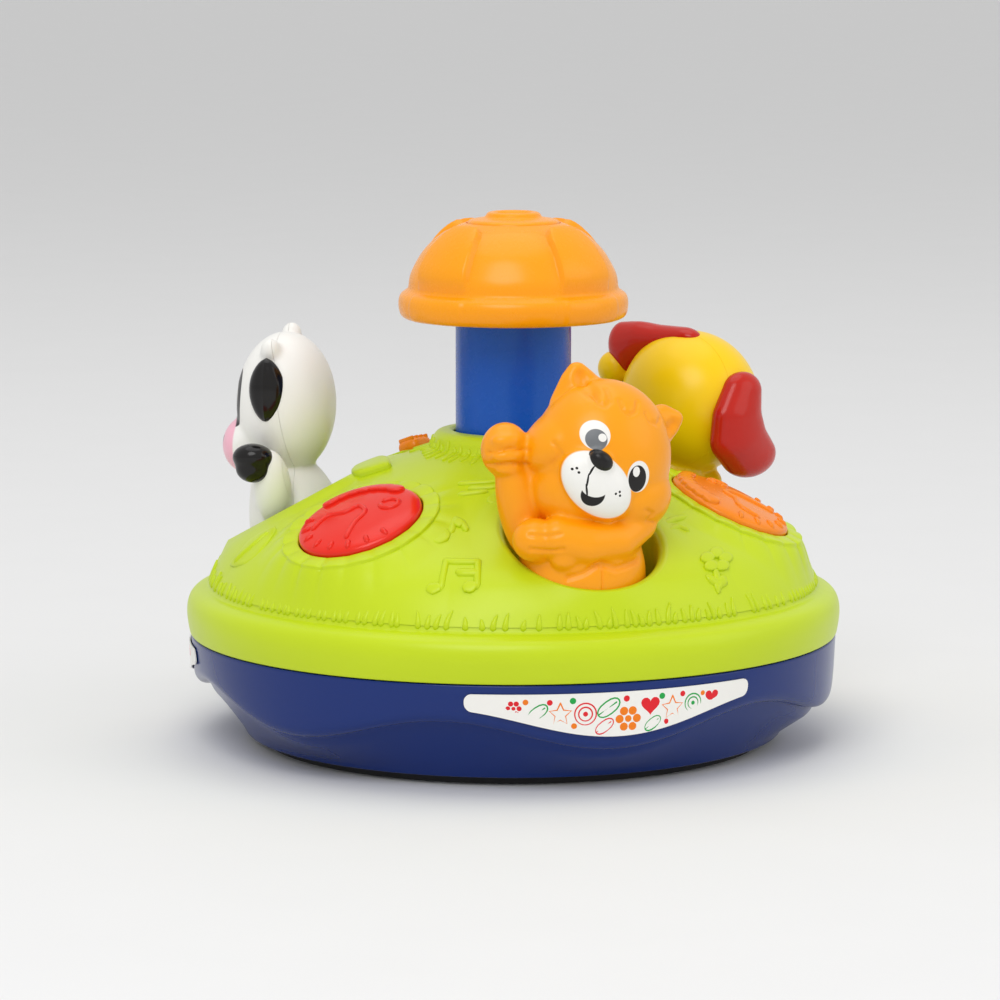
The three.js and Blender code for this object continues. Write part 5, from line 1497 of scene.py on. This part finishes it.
# Paint on the faces: depth and half depth of each group, and in it colour, (x, z) centre, half sizes, roll,
# with the centre and half sizes of what is left out of a smile
FACE_MARKS = {
    "bear": [(-32, 14, [
        ("white", (-3.6, 66.9), (4.9, 4.8), 0), ("white", (10.2, 53.3), (4.1, 5.2), 0),
        ("white", (-3.6, 51.4), (13.4, 9.1), 42), ("grey", (-3.3, 65.4), (3.5, 3.4), 0),
        ("white", (-1.4, 65.9), (1.3, 1.3), 0), ("black", (9.8, 52.7), (3.3, 4.4), 0),
        ("white", (9.3, 55), (1.25, 1.7), 0), ("black", (-2.8, 59.3), (4, 2.9), 35),
        ("black", (-6.1, 56.2), (0.34, 1.9), 32), ("black", (-7.4, 53), (0.32, 2.5), 10),
        ("black", (-7.6, 50.2), (0.32, 2.1), -8),
        *(("black", dot, (0.42, 0.42), 0) for dot in WHISKER_DOTS),
        ("black", (-5.5, 48.8), (3.8, 3.9), 10, (-4.9, 51.4), (4.6, 3.6))
    ])],
    "dog": [(-32, 10, [
        ("white", (-14, 66), (4, 5), 0), ("white", (0, 67), (4, 5), 0),
        ("black", (-13.4, 65.4), (2.8, 3.8), 0), ("black", (0.4, 66.4), (2.8, 3.8), 0),
        ("white", (-14.2, 67), (1, 1.3), 0), ("white", (-0.4, 68), (1, 1.3), 0)
    ]), (-44, 5, [("black", (-6, 57.4), (4, 3), -15)]),
        (-43, 9, [("black", (-6, 51.4), (4.4, 2.8), 0, (-6, 52.8), (5.2, 2.6))])],
    "cow": [(-26, 12, [
        ("black", (7, 65.8), (6.2, 10.5), 0), ("white", (-4.6, 66.5), (3.2, 4.6), 0),
        ("white", (6.2, 66.5), (3.2, 4.6), 0), ("black", (-4.2, 66), (2.3, 3.5), 0),
        ("black", (5.8, 66), (2.3, 3.5), 0), ("white", (-5, 67.6), (0.8, 1.1), 0),
        ("white", (5, 67.6), (0.8, 1.1), 0)
    ]), (-33, 13, [("pink", (1, 49.8), (14.5, 12), 0)]),
        (-32, 6, [("black", (-4, 52), (1.1, 1.6), 0), ("black", (6, 52), (1.1, 1.6), 0)]),
        (-32, 8, [("black", (1, 46.6), (5, 3), 0, (1, 47.8), (6, 2.8))])],
}
# Trunk: height and radius of each corner as shares of the figure's height
TRUNK_SHARES = [(-0.055, 0.183), (0.089, 0.217), (0.222, 0.228), (0.333, 0.2), (0.5, 0.13)]
TRUNK_FILLET_SHARE = 0.08
TRUNK_SQUASH_SHARE = 0.88
TRUNK_LEAN = 15
TRUNK_FACETS = 48
FIGURE_HEIGHT = 0.09
SOFTENING_ROUNDS = {"bear": 12, "dog": 24, "cow": 20}
DETAIL_ROUNDS = 10
SOFTENING_SHARE = 0.5
BLOB_LEVELS = 4
PARTING_LEAN = 8
PARTING_GAP = 0.00005
GROOVE_FACING = 2.5
FIGURE_ROUGHNESS = 0.3
FIGURE_SHADE = 0.04
EAR_ROWS = 24
EAR_COLUMNS = 15
EAR_ROUNDING_SHARE = 0.66
EAR_THINNING = 0.6
EAR_RIDGE_SHARE = 0.12
EAR_RIDGE_SLOPE = 5


def blob(centre, half, roll):
    """A rounded form"""
    form = bmesh.new()
    bmesh.ops.create_icosphere(form, subdivisions=BLOB_LEVELS, radius=1)
    place = Matrix.Translation(Vector(centre) * MM)
    turn = Matrix.Rotation(math.radians(roll), 4, "Y")
    scale = Matrix.Diagonal((*(size * MM for size in half), 1))
    bmesh.ops.transform(form, matrix=place @ turn @ scale, verts=form.verts)
    return form_object("blob", form)


def between(forms, steps=5):
    """Rounded forms with further ones between each and the next, so that a bent limb has no waists"""
    result = [forms[0]]
    for first, second in zip(forms[:-1], forms[1:]):
        for k in range(1, steps + 1):
            share = k / steps
            centre, half = (Vector(first[i]).lerp(Vector(second[i]), share) for i in (0, 1))
            result.append([centre, half, first[2] + (second[2] - first[2]) * share])
    return result


def trunk_object():
    lean = math.tan(math.radians(TRUNK_LEAN))
    corners = [(radius, rise, TRUNK_FILLET_SHARE) for rise, radius in TRUNK_SHARES]
    profile = rounded([(0, TRUNK_SHARES[0][0], 0), *corners, (0, TRUNK_SHARES[-1][0], 0)])
    vertices, faces = turned([(r * FIGURE_HEIGHT, z * FIGURE_HEIGHT) for r, z in profile], TRUNK_FACETS)
    vertices = [(x, y * TRUNK_SQUASH_SHARE - max(z, 0) * lean, z) for x, y, z in vertices]
    return tidy(new_object("trunk", vertices, faces))


def melted(name, objects, rounds):
    """Joins rounded forms into one skin and softens the creases between them"""
    form = joined_object(name, objects)
    remesh = form.modifiers.new("remesh", "REMESH")
    remesh.mode = "VOXEL"
    remesh.voxel_size = sizes().voxel
    soften = form.modifiers.new("soften", "SMOOTH")
    soften.factor = SOFTENING_SHARE
    soften.iterations = rounds
    apply_modifiers(form)
    return form


def halved(skin, name, side, matrix):
    """The half of a skin on one side of its parting plane, closed along the plane"""
    form = bmesh.new()
    form.from_mesh(skin.data)
    lean = math.radians(PARTING_LEAN)
    normal = Vector((0, math.cos(lean), math.sin(lean)))
    edges = bmesh.ops.bisect_plane(
        form, geom=[*form.verts, *form.edges, *form.faces],
        plane_co=normal * side * PARTING_GAP, plane_no=normal * -side, clear_outer=True)["geom_cut"]
    bmesh.ops.holes_fill(form, edges=[edge for edge in edges if isinstance(edge, bmesh.types.BMEdge)])
    return form_object(name, form, matrix)


def carve(skin, grooves):
    """Presses grooves into the front of a skin along lines of (x, z)"""
    mesh = skin.data
    places, normals = (np.empty(len(mesh.vertices) * 3) for _ in range(2))
    mesh.vertices.foreach_get("co", places)
    mesh.vertices.foreach_get("normal", normals)
    places, normals = places.reshape(-1, 3), normals.reshape(-1, 3)
    moved = places.copy()
    seen = places[:, [0, 2]]
    front = np.clip(-normals[:, 1] * GROOVE_FACING, 0, 1)
    for points, width, depth in grooves:
        line = np.array(points) * MM
        away = np.full(len(seen), np.inf)
        for start, end in zip(line[:-1], line[1:]):
            span = end - start
            along = np.clip(((seen - start) @ span) / (span @ span), 0, 1)
            away = np.minimum(away, np.linalg.norm(seen - start - along[:, None] * span, axis=1))
        near = np.clip(1 - away / (width * MM), 0, 1)
        near = near * near * (3 - 2 * near) * front
        moved -= normals * (near * depth * MM)[:, None]
    mesh.vertices.foreach_set("co", moved.reshape(-1))
    mesh.update()


def deep(pair, depth):
    """A pair of (x, z) with its depth, in metres"""
    return tuple(Vector((pair[0], depth, pair[1])) * MM)


def figure_marks(name):
    """The paint on a face: colour, centre, half sizes, roll, and an ellipse left out of it or None"""
    result = []
    for depth, reach, marks in FACE_MARKS[name]:
        for shade, centre, half, roll, *hole in marks:
            gap = (deep(hole[0], depth), deep(hole[1], reach)) if hole else None
            result.append((colour(shade), deep(centre, depth), deep(half, reach), roll, gap))
    return result


def build_figure(name, forms, shade, grooves=()):
    """The two halves of a figure in one moulded and painted skin"""
    shapes = [trunk_object(), *(blob(*entry) for entry in forms)]
    skin = melted(f"{name}_skin", shapes, SOFTENING_ROUNDS[name])
    carve(skin, grooves)
    place = figure_matrix(FIGURES[name])
    paint = plastic(
        f"{name} plastic", colour(shade), FIGURE_ROUGHNESS, FIGURE_SHADE,
        marks=figure_marks(name), place=place)
    for part, side in (("front", -1), ("back", 1)):
        half = halved(skin, f"{name}_{part}_skin", side, place)
        piece(half, name, paint, [f"{name}_{part}"], FORM_SMOOTH)
    bpy.data.objects.remove(skin)


def figure_detail(name, label, forms, material):
    """Rounded forms in a colour of their own on a figure"""
    detail = melted(label, [blob(*entry) for entry in forms], DETAIL_ROUNDS)
    detail.matrix_world = figure_matrix(FIGURES[name])
    piece(detail, name, material, (), FORM_SMOOTH)


def leaf_object(name, centre, half, bulge, matrix):
    """A pointed leaf that stands out along X, with a ridge down its middle"""
    vertices = []
    for i in range(EAR_ROWS + 1):
        rise = 2 * i / EAR_ROWS - 1
        wide = (1 - rise ** 2) ** EAR_ROUNDING_SHARE
        for j in range(EAR_COLUMNS):
            across = 2 * j / (EAR_COLUMNS - 1) - 1
            crest = EAR_RIDGE_SHARE * max(1 - EAR_RIDGE_SLOPE * abs(across), 0)
            lift = bulge * (math.sqrt(max(1 - across * across, 0)) + crest) * wide ** EAR_THINNING
            vertices.append((Vector(centre) + Vector((lift, half[0] * across * wide, half[1] * rise))) * MM)
    return tidy(new_object(name, vertices, strip_faces(EAR_ROWS + 1, EAR_COLUMNS, False), matrix))


class TOP_OT_bear(bpy.types.Operator):
    """Makes the orange bear"""
    bl_idname = "top.bear"
    bl_label = "Bear"

    def execute(self, context):
        limbs = [form for limb in BEAR_LIMBS for form in between(limb)]
        build_figure("bear", BEAR_FORMS + limbs, "orange", BEAR_GROOVES)
        return {"FINISHED"}


class TOP_OT_dog(bpy.types.Operator):
    """Makes the yellow dog"""
    bl_idname = "top.dog"
    bl_label = "Dog"

    def execute(self, context):
        build_figure("dog", DOG_FORMS, "yellow")
        for label, forms in DOG_EARS.items():
            figure_detail("dog", label, between(forms), finish("ear"))
        return {"FINISHED"}


class TOP_OT_cow(bpy.types.Operator):
    """Makes the white cow"""
    bl_idname = "top.cow"
    bl_label = "Cow"

    def execute(self, context):
        build_figure("cow", COW_FORMS, "white")
        black = finish("black")
        figure_detail("cow", "cow_hoof", COW_HOOF, black)
        x, y, z = COW_EAR_PLACE
        for label, side in COW_EARS.items():
            place = figure_matrix(FIGURES["cow"])
            ear = leaf_object(label, (side * x, y, z), COW_EAR_HALF, side * COW_EAR_BULGE, place)
            piece(ear, "cow", black)
        return {"FINISHED"}


# Slider

SLIDER_RING = 0.044
SLIDER_LIFT = 0.09084
SLIDER_TILT = 19.13
SLIDER_TRAVEL = 0.006
KNOB_HALF = (0.0048, 0.0046)
KNOB_LEVELS = (-0.0008, 0.0046)
KNOB_BEVEL = 0.0026
KNOB_BEVEL_STEPS = 6
RIB_COUNT = 4
RIB_SPREAD_SHARE = 0.7
RIB_HALF = (0.0005, 0.0034)
RIB_LEVELS = (0.0036, 0.0052)
RIB_BEVEL = 0.0004
STEM_HALF = (0.0025, 0.0017)
STEM_LEVELS = (-0.0054, 0.002)
BEZEL_HALF = (0.0102, 0.0062)
BEZEL_LEVELS = (-0.0016, 0.0001)
BEZEL_BEVEL = 0.0004
# Slot in the slider's frame, and the black sheet of painted shade that lies in it
SLOT_HALF = (0.0059, 0.0021)
SLOT_LEVELS = (-0.0006, -0.0004)
SLOT_BEVEL = 0.00005


class TOP_OT_slider(bpy.types.Operator):
    """Makes the ribbed power slider, its raised frame and a black sheet in its slot: painted shade, where the
    slot's inside lies in shadow
    """
    bl_idname = "top.slider"
    bl_label = "Power slider"

    def execute(self, context):
        place = seat(SLIDER_RING, SLIDER_LIFT, SLIDER_TILT, SLIDER_AZIMUTH)
        knob = block((0, 0), KNOB_HALF, *KNOB_LEVELS, None, "power_knob", KNOB_BEVEL, KNOB_BEVEL_STEPS)
        for i in range(RIB_COUNT):
            x = KNOB_HALF[0] * RIB_SPREAD_SHARE * (2 * i / (RIB_COUNT - 1) - 1)
            cut(knob, block((x, 0), RIB_HALF, *RIB_LEVELS, None, "rib", RIB_BEVEL, 2), "UNION")
        cut(knob, block((0, 0), STEM_HALF, *STEM_LEVELS), "UNION")
        middle = (SLIDER_TRAVEL / 2, 0)
        bezel = block(middle, BEZEL_HALF, *BEZEL_LEVELS, None, "slider_frame", BEZEL_BEVEL)
        cut(bezel, block(middle, SLOT_HALF, SLOT_LEVELS[0], OVERRUN))
        # A black sheet in the slot: painted shade standing in for the shadow inside the slot
        floor = block(middle, SLOT_HALF, *SLOT_LEVELS, None, "slider_slot", SLOT_BEVEL, 1)
        for obj in (knob, bezel, floor):
            obj.matrix_world = place
        piece(knob, "power_slider", finish("deep_orange"), ["power_slider"])
        piece(bezel, "rotor", finish("lime"))
        # The slot's black sheet is painted shade
        piece(floor, "rotor", finish("black"))
        return {"FINISHED"}


# Underside: foot, grip ring, battery door, cap underside and screws

FOOT_RADIUS = 0.084
FOOT_LEVELS = (0.002, 0.005, 0.012)
FOOT_ROUNDINGS = (0.0008, 0.0006)
FOOT_COLLAR_RADII = (0.0205, 0.02)
FOOT_RECESS = (0.0056, 0.0052)
FOOT_BORE = 0.0023
WINDOW_HALF = (0.027, 0.0225)
WINDOW_CENTRE = 0.049
WINDOW_BEVEL = 0.0015
GRIP_RADII = (0.078, 0.083)
GRIP_ROUNDING = 0.0006
GRIP_BAND = 0.0016
GRIP_RIBS = 90
GRIP_RIB_FACETS = 8
GRIP_RIB_DEPTH = 0.0005
GRIP_RIB_MARGIN = 0.001
GRIP_GAP = 0.0001
DOOR_THICKNESS = 0.0021
DOOR_GAP = 0.0003
DOOR_BEVEL = 0.0006
DOOR_RECESS = (0.0026, 0.0012)
DOOR_GRIPS = (0.058, 0.0602, 0.0624)
DOOR_GRIP_HALF = (0.007, 0.0005)
DOOR_GRIP_LEVELS = (-0.0004, 0.0006)
DOOR_GRIP_BEVEL = 0.0003
CAP_FLOOR_LINE = [
    (0.0234, 0.1412, 0.0003), (0.026, 0.1412, 0), (0.0316, 0.1412, 0.001), (0.0322, 0.1408, 0.0005),
    (0.0332, 0.1412, 0.0004), (0.0336, 0.143, 0.0005), (0.0234, 0.143, 0.0003), (0.0234, 0.1412, 0)
]
# Screws: body, and radius and height of the head
HOUSING_SCREW = ("rotor", 0.0034, 0.002)
CAP_SCREW = ("plunger", 0.0026, 0.0014)
SCREWS = {
    "post_screw": ("foot", 0.005, 0.0024),
    **{f"housing_screw_{k}": HOUSING_SCREW for k in (1, 2, 3)},
    "battery_door_screw": ("rotor", 0.0024, 0.0012),
    **{f"cap_screw_{k}": CAP_SCREW for k in (1, 2, 3)},
}
SCREW_FACETS = 32
THREAD_PITCH = 0.0011
SHANK_SHARE = 0.45
THREAD_ROOT_SHARE = 0.82
HEAD_SHARES = ((0.6, 0), (0.93, 0.35), (1, 1))
RECESS_SHARES = (0.62, 0.13)
RECESS_DEPTH_SHARE = 0.6


def foot_object():
    low, top, collar = FOOT_LEVELS
    edge, bend = FOOT_ROUNDINGS
    wide, narrow = FOOT_COLLAR_RADII
    plate = turned_object("foot_skin", rounded([
        (0, low, 0), (FOOT_RADIUS, low, edge), (FOOT_RADIUS, top, edge), (wide, top, bend),
        (narrow, collar, bend), (0, collar, 0)
    ]), sizes().facets)
    window = block(
        (0, WINDOW_CENTRE), WINDOW_HALF, low - OVERRUN, top + OVERRUN, None, "window", WINDOW_BEVEL, 4)
    cut(plate, window)
    cut(plate, rod(FOOT_RECESS[0], low - OVERRUN, FOOT_RECESS[1]))
    cut(plate, rod(FOOT_BORE, low - OVERRUN, collar + OVERRUN))
    return plate


def grip_object():
    inner, outer = GRIP_RADII
    top = FOOT_LEVELS[0] - GRIP_GAP

    def ribbed(angle, i, r, z):
        margin = GRIP_RIB_MARGIN
        if z < FOOT_LEVELS[0] / 2 and inner < r - margin < outer - 2 * margin:
            z += GRIP_RIB_DEPTH * (0.5 + 0.5 * math.cos(GRIP_RIBS * angle))
        return r, z
    return turned_object("grip_ring", rounded([
        (inner, top, 0), (inner, 0, GRIP_ROUNDING), (inner + GRIP_BAND, 0, 0), (outer - GRIP_BAND, 0, 0),
        (outer, 0, GRIP_ROUNDING), (outer, top, 0), (inner, top, 0)
    ]), GRIP_RIBS * GRIP_RIB_FACETS, ribbed)


def door_object():
    low, high = FLOOR_LEVELS[0], FLOOR_LEVELS[0] + DOOR_THICKNESS
    half = [size - DOOR_GAP for size in OPENING_HALF]
    door = block(DOOR_PLACE, half, low, high, None, "door_skin", DOOR_BEVEL)
    cut(door, rod(TAB_RADIUS, low, high, (0, TAB_CENTRE)), "UNION")
    radius, depth = DOOR_RECESS
    cut(door, rod(radius, low - OVERRUN, low + depth, (0, TAB_CENTRE)))
    bottom, top = DOOR_GRIP_LEVELS
    for y in DOOR_GRIPS:
        cut(door, block((0, y), DOOR_GRIP_HALF, low + bottom, low + top, None, "grip", DOOR_GRIP_BEVEL, 2))
    return door


def screw_object(name, radius, height):
    """A pan-head screw with its head down and a cross recess, in the place of a screw of the frame"""
    corner, far_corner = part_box(name)
    low, high = corner[2], far_corner[2]
    shank = radius * SHANK_SHARE
    line = [(0, low), *((radius * out, low + height * up) for out, up in HEAD_SHARES), (shank, low + height)]
    steps = int((high - low - height) / THREAD_PITCH)
    for k in range(1, steps * 2):
        line.append((shank * (1 if k % 2 else THREAD_ROOT_SHARE), low + height + THREAD_PITCH * k / 2))
    screw = turned_object(f"{name}_skin", [*line, (0, high)], SCREW_FACETS)
    half = [radius * share for share in RECESS_SHARES]
    for turn in (0, math.pi / 2):
        recess_top = low + height * RECESS_DEPTH_SHARE
        cut(screw, block((0, 0), half, low - height, recess_top, Matrix.Rotation(turn, 4, "Z")))
    middle = (Vector(corner) + Vector(far_corner)) / 2
    screw.matrix_world = Matrix.Translation((middle.x, middle.y, 0))
    return screw


class TOP_OT_underside(bpy.types.Operator):
    """Makes the foot with its grip ring, the battery door, the cap's underside and the screws"""
    bl_idname = "top.underside"
    bl_label = "Underside"

    def execute(self, context):
        piece(foot_object(), "foot", finish("grey"), ["foot_plate"])
        piece(grip_object(), "foot", finish("rubber"), ["foot_grip_ring"])
        piece(door_object(), "rotor", finish("deep_blue"), ["battery_door"])
        under = turned_object("cap_floor", rounded(CAP_FLOOR_LINE), sizes().facets)
        piece(under, "plunger", finish("orange"), ["cap_underside"])
        for name, (body, radius, height) in SCREWS.items():
            piece(screw_object(name, radius, height), body, finish("steel"), [name])
        return {"FINISHED"}


# Frame nodes that stay as they are

class TOP_OT_nodes(bpy.types.Operator):
    """Gives every node of the frame its finish"""
    bl_idname = "top.nodes"
    bl_label = "Frame nodes"

    def execute(self, context):
        for entry in frame["record"]["subparts"]:
            slot = entry["material_slot"]
            for place in frame["nodes"][entry["node"]].material_slots:
                place.material = finish(SLOT_FINISHES.get(slot, slot.removesuffix("_plastic")))
        return {"FINISHED"}


# Stage

LIGHT_TARGET = (0, 0, 0.08)
# Lights: place, size and power
LIGHTS = {
    "key light": ((-0.7, -1.2, 1.5), 1.2, 13.5),
    "fill light": ((1.4, -0.9, 0.9), 1.4, 4),
    "top light": ((0, 0.3, 1.8), 1.6, 6),
}
ROOM_LIGHT = 0.72


def aimed_object(name, data, place, direction):
    obj = mesh_object(name, data)
    obj.location = place
    obj.rotation_euler = Vector(direction).to_track_quat("-Z", "Y").to_euler()
    return obj


def area_light(name, place, size, power):
    light = bpy.data.lights.new(name, "AREA")
    light.shape = "DISK"
    light.size = size
    light.energy = power
    aimed_object(name, light, place, Vector(LIGHT_TARGET) - Vector(place))


class TOP_OT_stage(bpy.types.Operator):
    """Makes the floor, the soft lights and the camera"""
    bl_idname = "top.stage"
    bl_label = "Stage"

    def execute(self, context):
        half = sizes().floor / 2
        corners = [(-half, -half, 0), (half, -half, 0), (half, half, 0), (-half, half, 0)]
        floor = new_object("floor", corners, [(0, 1, 2, 3)])
        floor.data.materials.append(finish("floor"))
        floor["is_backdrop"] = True
        for name, settings in LIGHTS.items():
            area_light(name, *settings)
        world = bpy.data.worlds.new("soft room")
        context.scene.world = world
        world.use_nodes = True
        room = world.node_tree.nodes["Background"].inputs
        room["Color"].default_value = (1, 1, 1, 1)
        room["Strength"].default_value = ROOM_LIGHT
        eye, _, _, back = camera_frame()
        camera = bpy.data.cameras.new("camera")
        camera.lens = CAMERA_LENS
        camera.sensor_width = CAMERA_SENSOR
        context.scene.camera = aimed_object("camera", camera, eye, -back)
        context.scene.view_settings.view_transform = "Standard"
        return {"FINISHED"}


OPERATORS = (
    TOP_OT_nodes, TOP_OT_dome, TOP_OT_base, TOP_OT_labels, TOP_OT_cap, TOP_OT_buttons, TOP_OT_slider,
    TOP_OT_underside, TOP_OT_bear, TOP_OT_dog, TOP_OT_cow, TOP_OT_stage,
)


class TOP_PT_builder(bpy.types.Panel):
    """Lists the steps and settings of the top"""
    bl_label = "Activity top"
    bl_idname = "TOP_PT_builder"
    bl_space_type = "VIEW_3D"
    bl_region_type = "UI"
    bl_category = "Activity top"

    def draw(self, context):
        layout = self.layout
        for group in (context.scene.top_sizes, context.scene.top_colours):
            for name in group.__annotations__:
                layout.prop(group, name)
        for operator in OPERATORS:
            layout.operator(operator.bl_idname)


CLASSES = (TopSizes, TopColours, *OPERATORS, TOP_PT_builder)


def register():
    for item in CLASSES:
        bpy.utils.register_class(item)
    bpy.types.Scene.top_sizes = bpy.props.PointerProperty(type=TopSizes)
    bpy.types.Scene.top_colours = bpy.props.PointerProperty(type=TopColours)


def unregister():
    del bpy.types.Scene.top_colours
    del bpy.types.Scene.top_sizes
    for item in reversed(CLASSES):
        bpy.utils.unregister_class(item)


def plain(box):
    return [list(corner) if hasattr(corner, "__len__") else corner for corner in box]


def main():
    register()
    for operator in OPERATORS:
        group, name = operator.bl_idname.split(".")
        getattr(getattr(bpy.ops, group), name)()
    {"cad": plain(CAD_BOX), "visual": plain(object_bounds())}


if __name__ == "__main__":
    main()
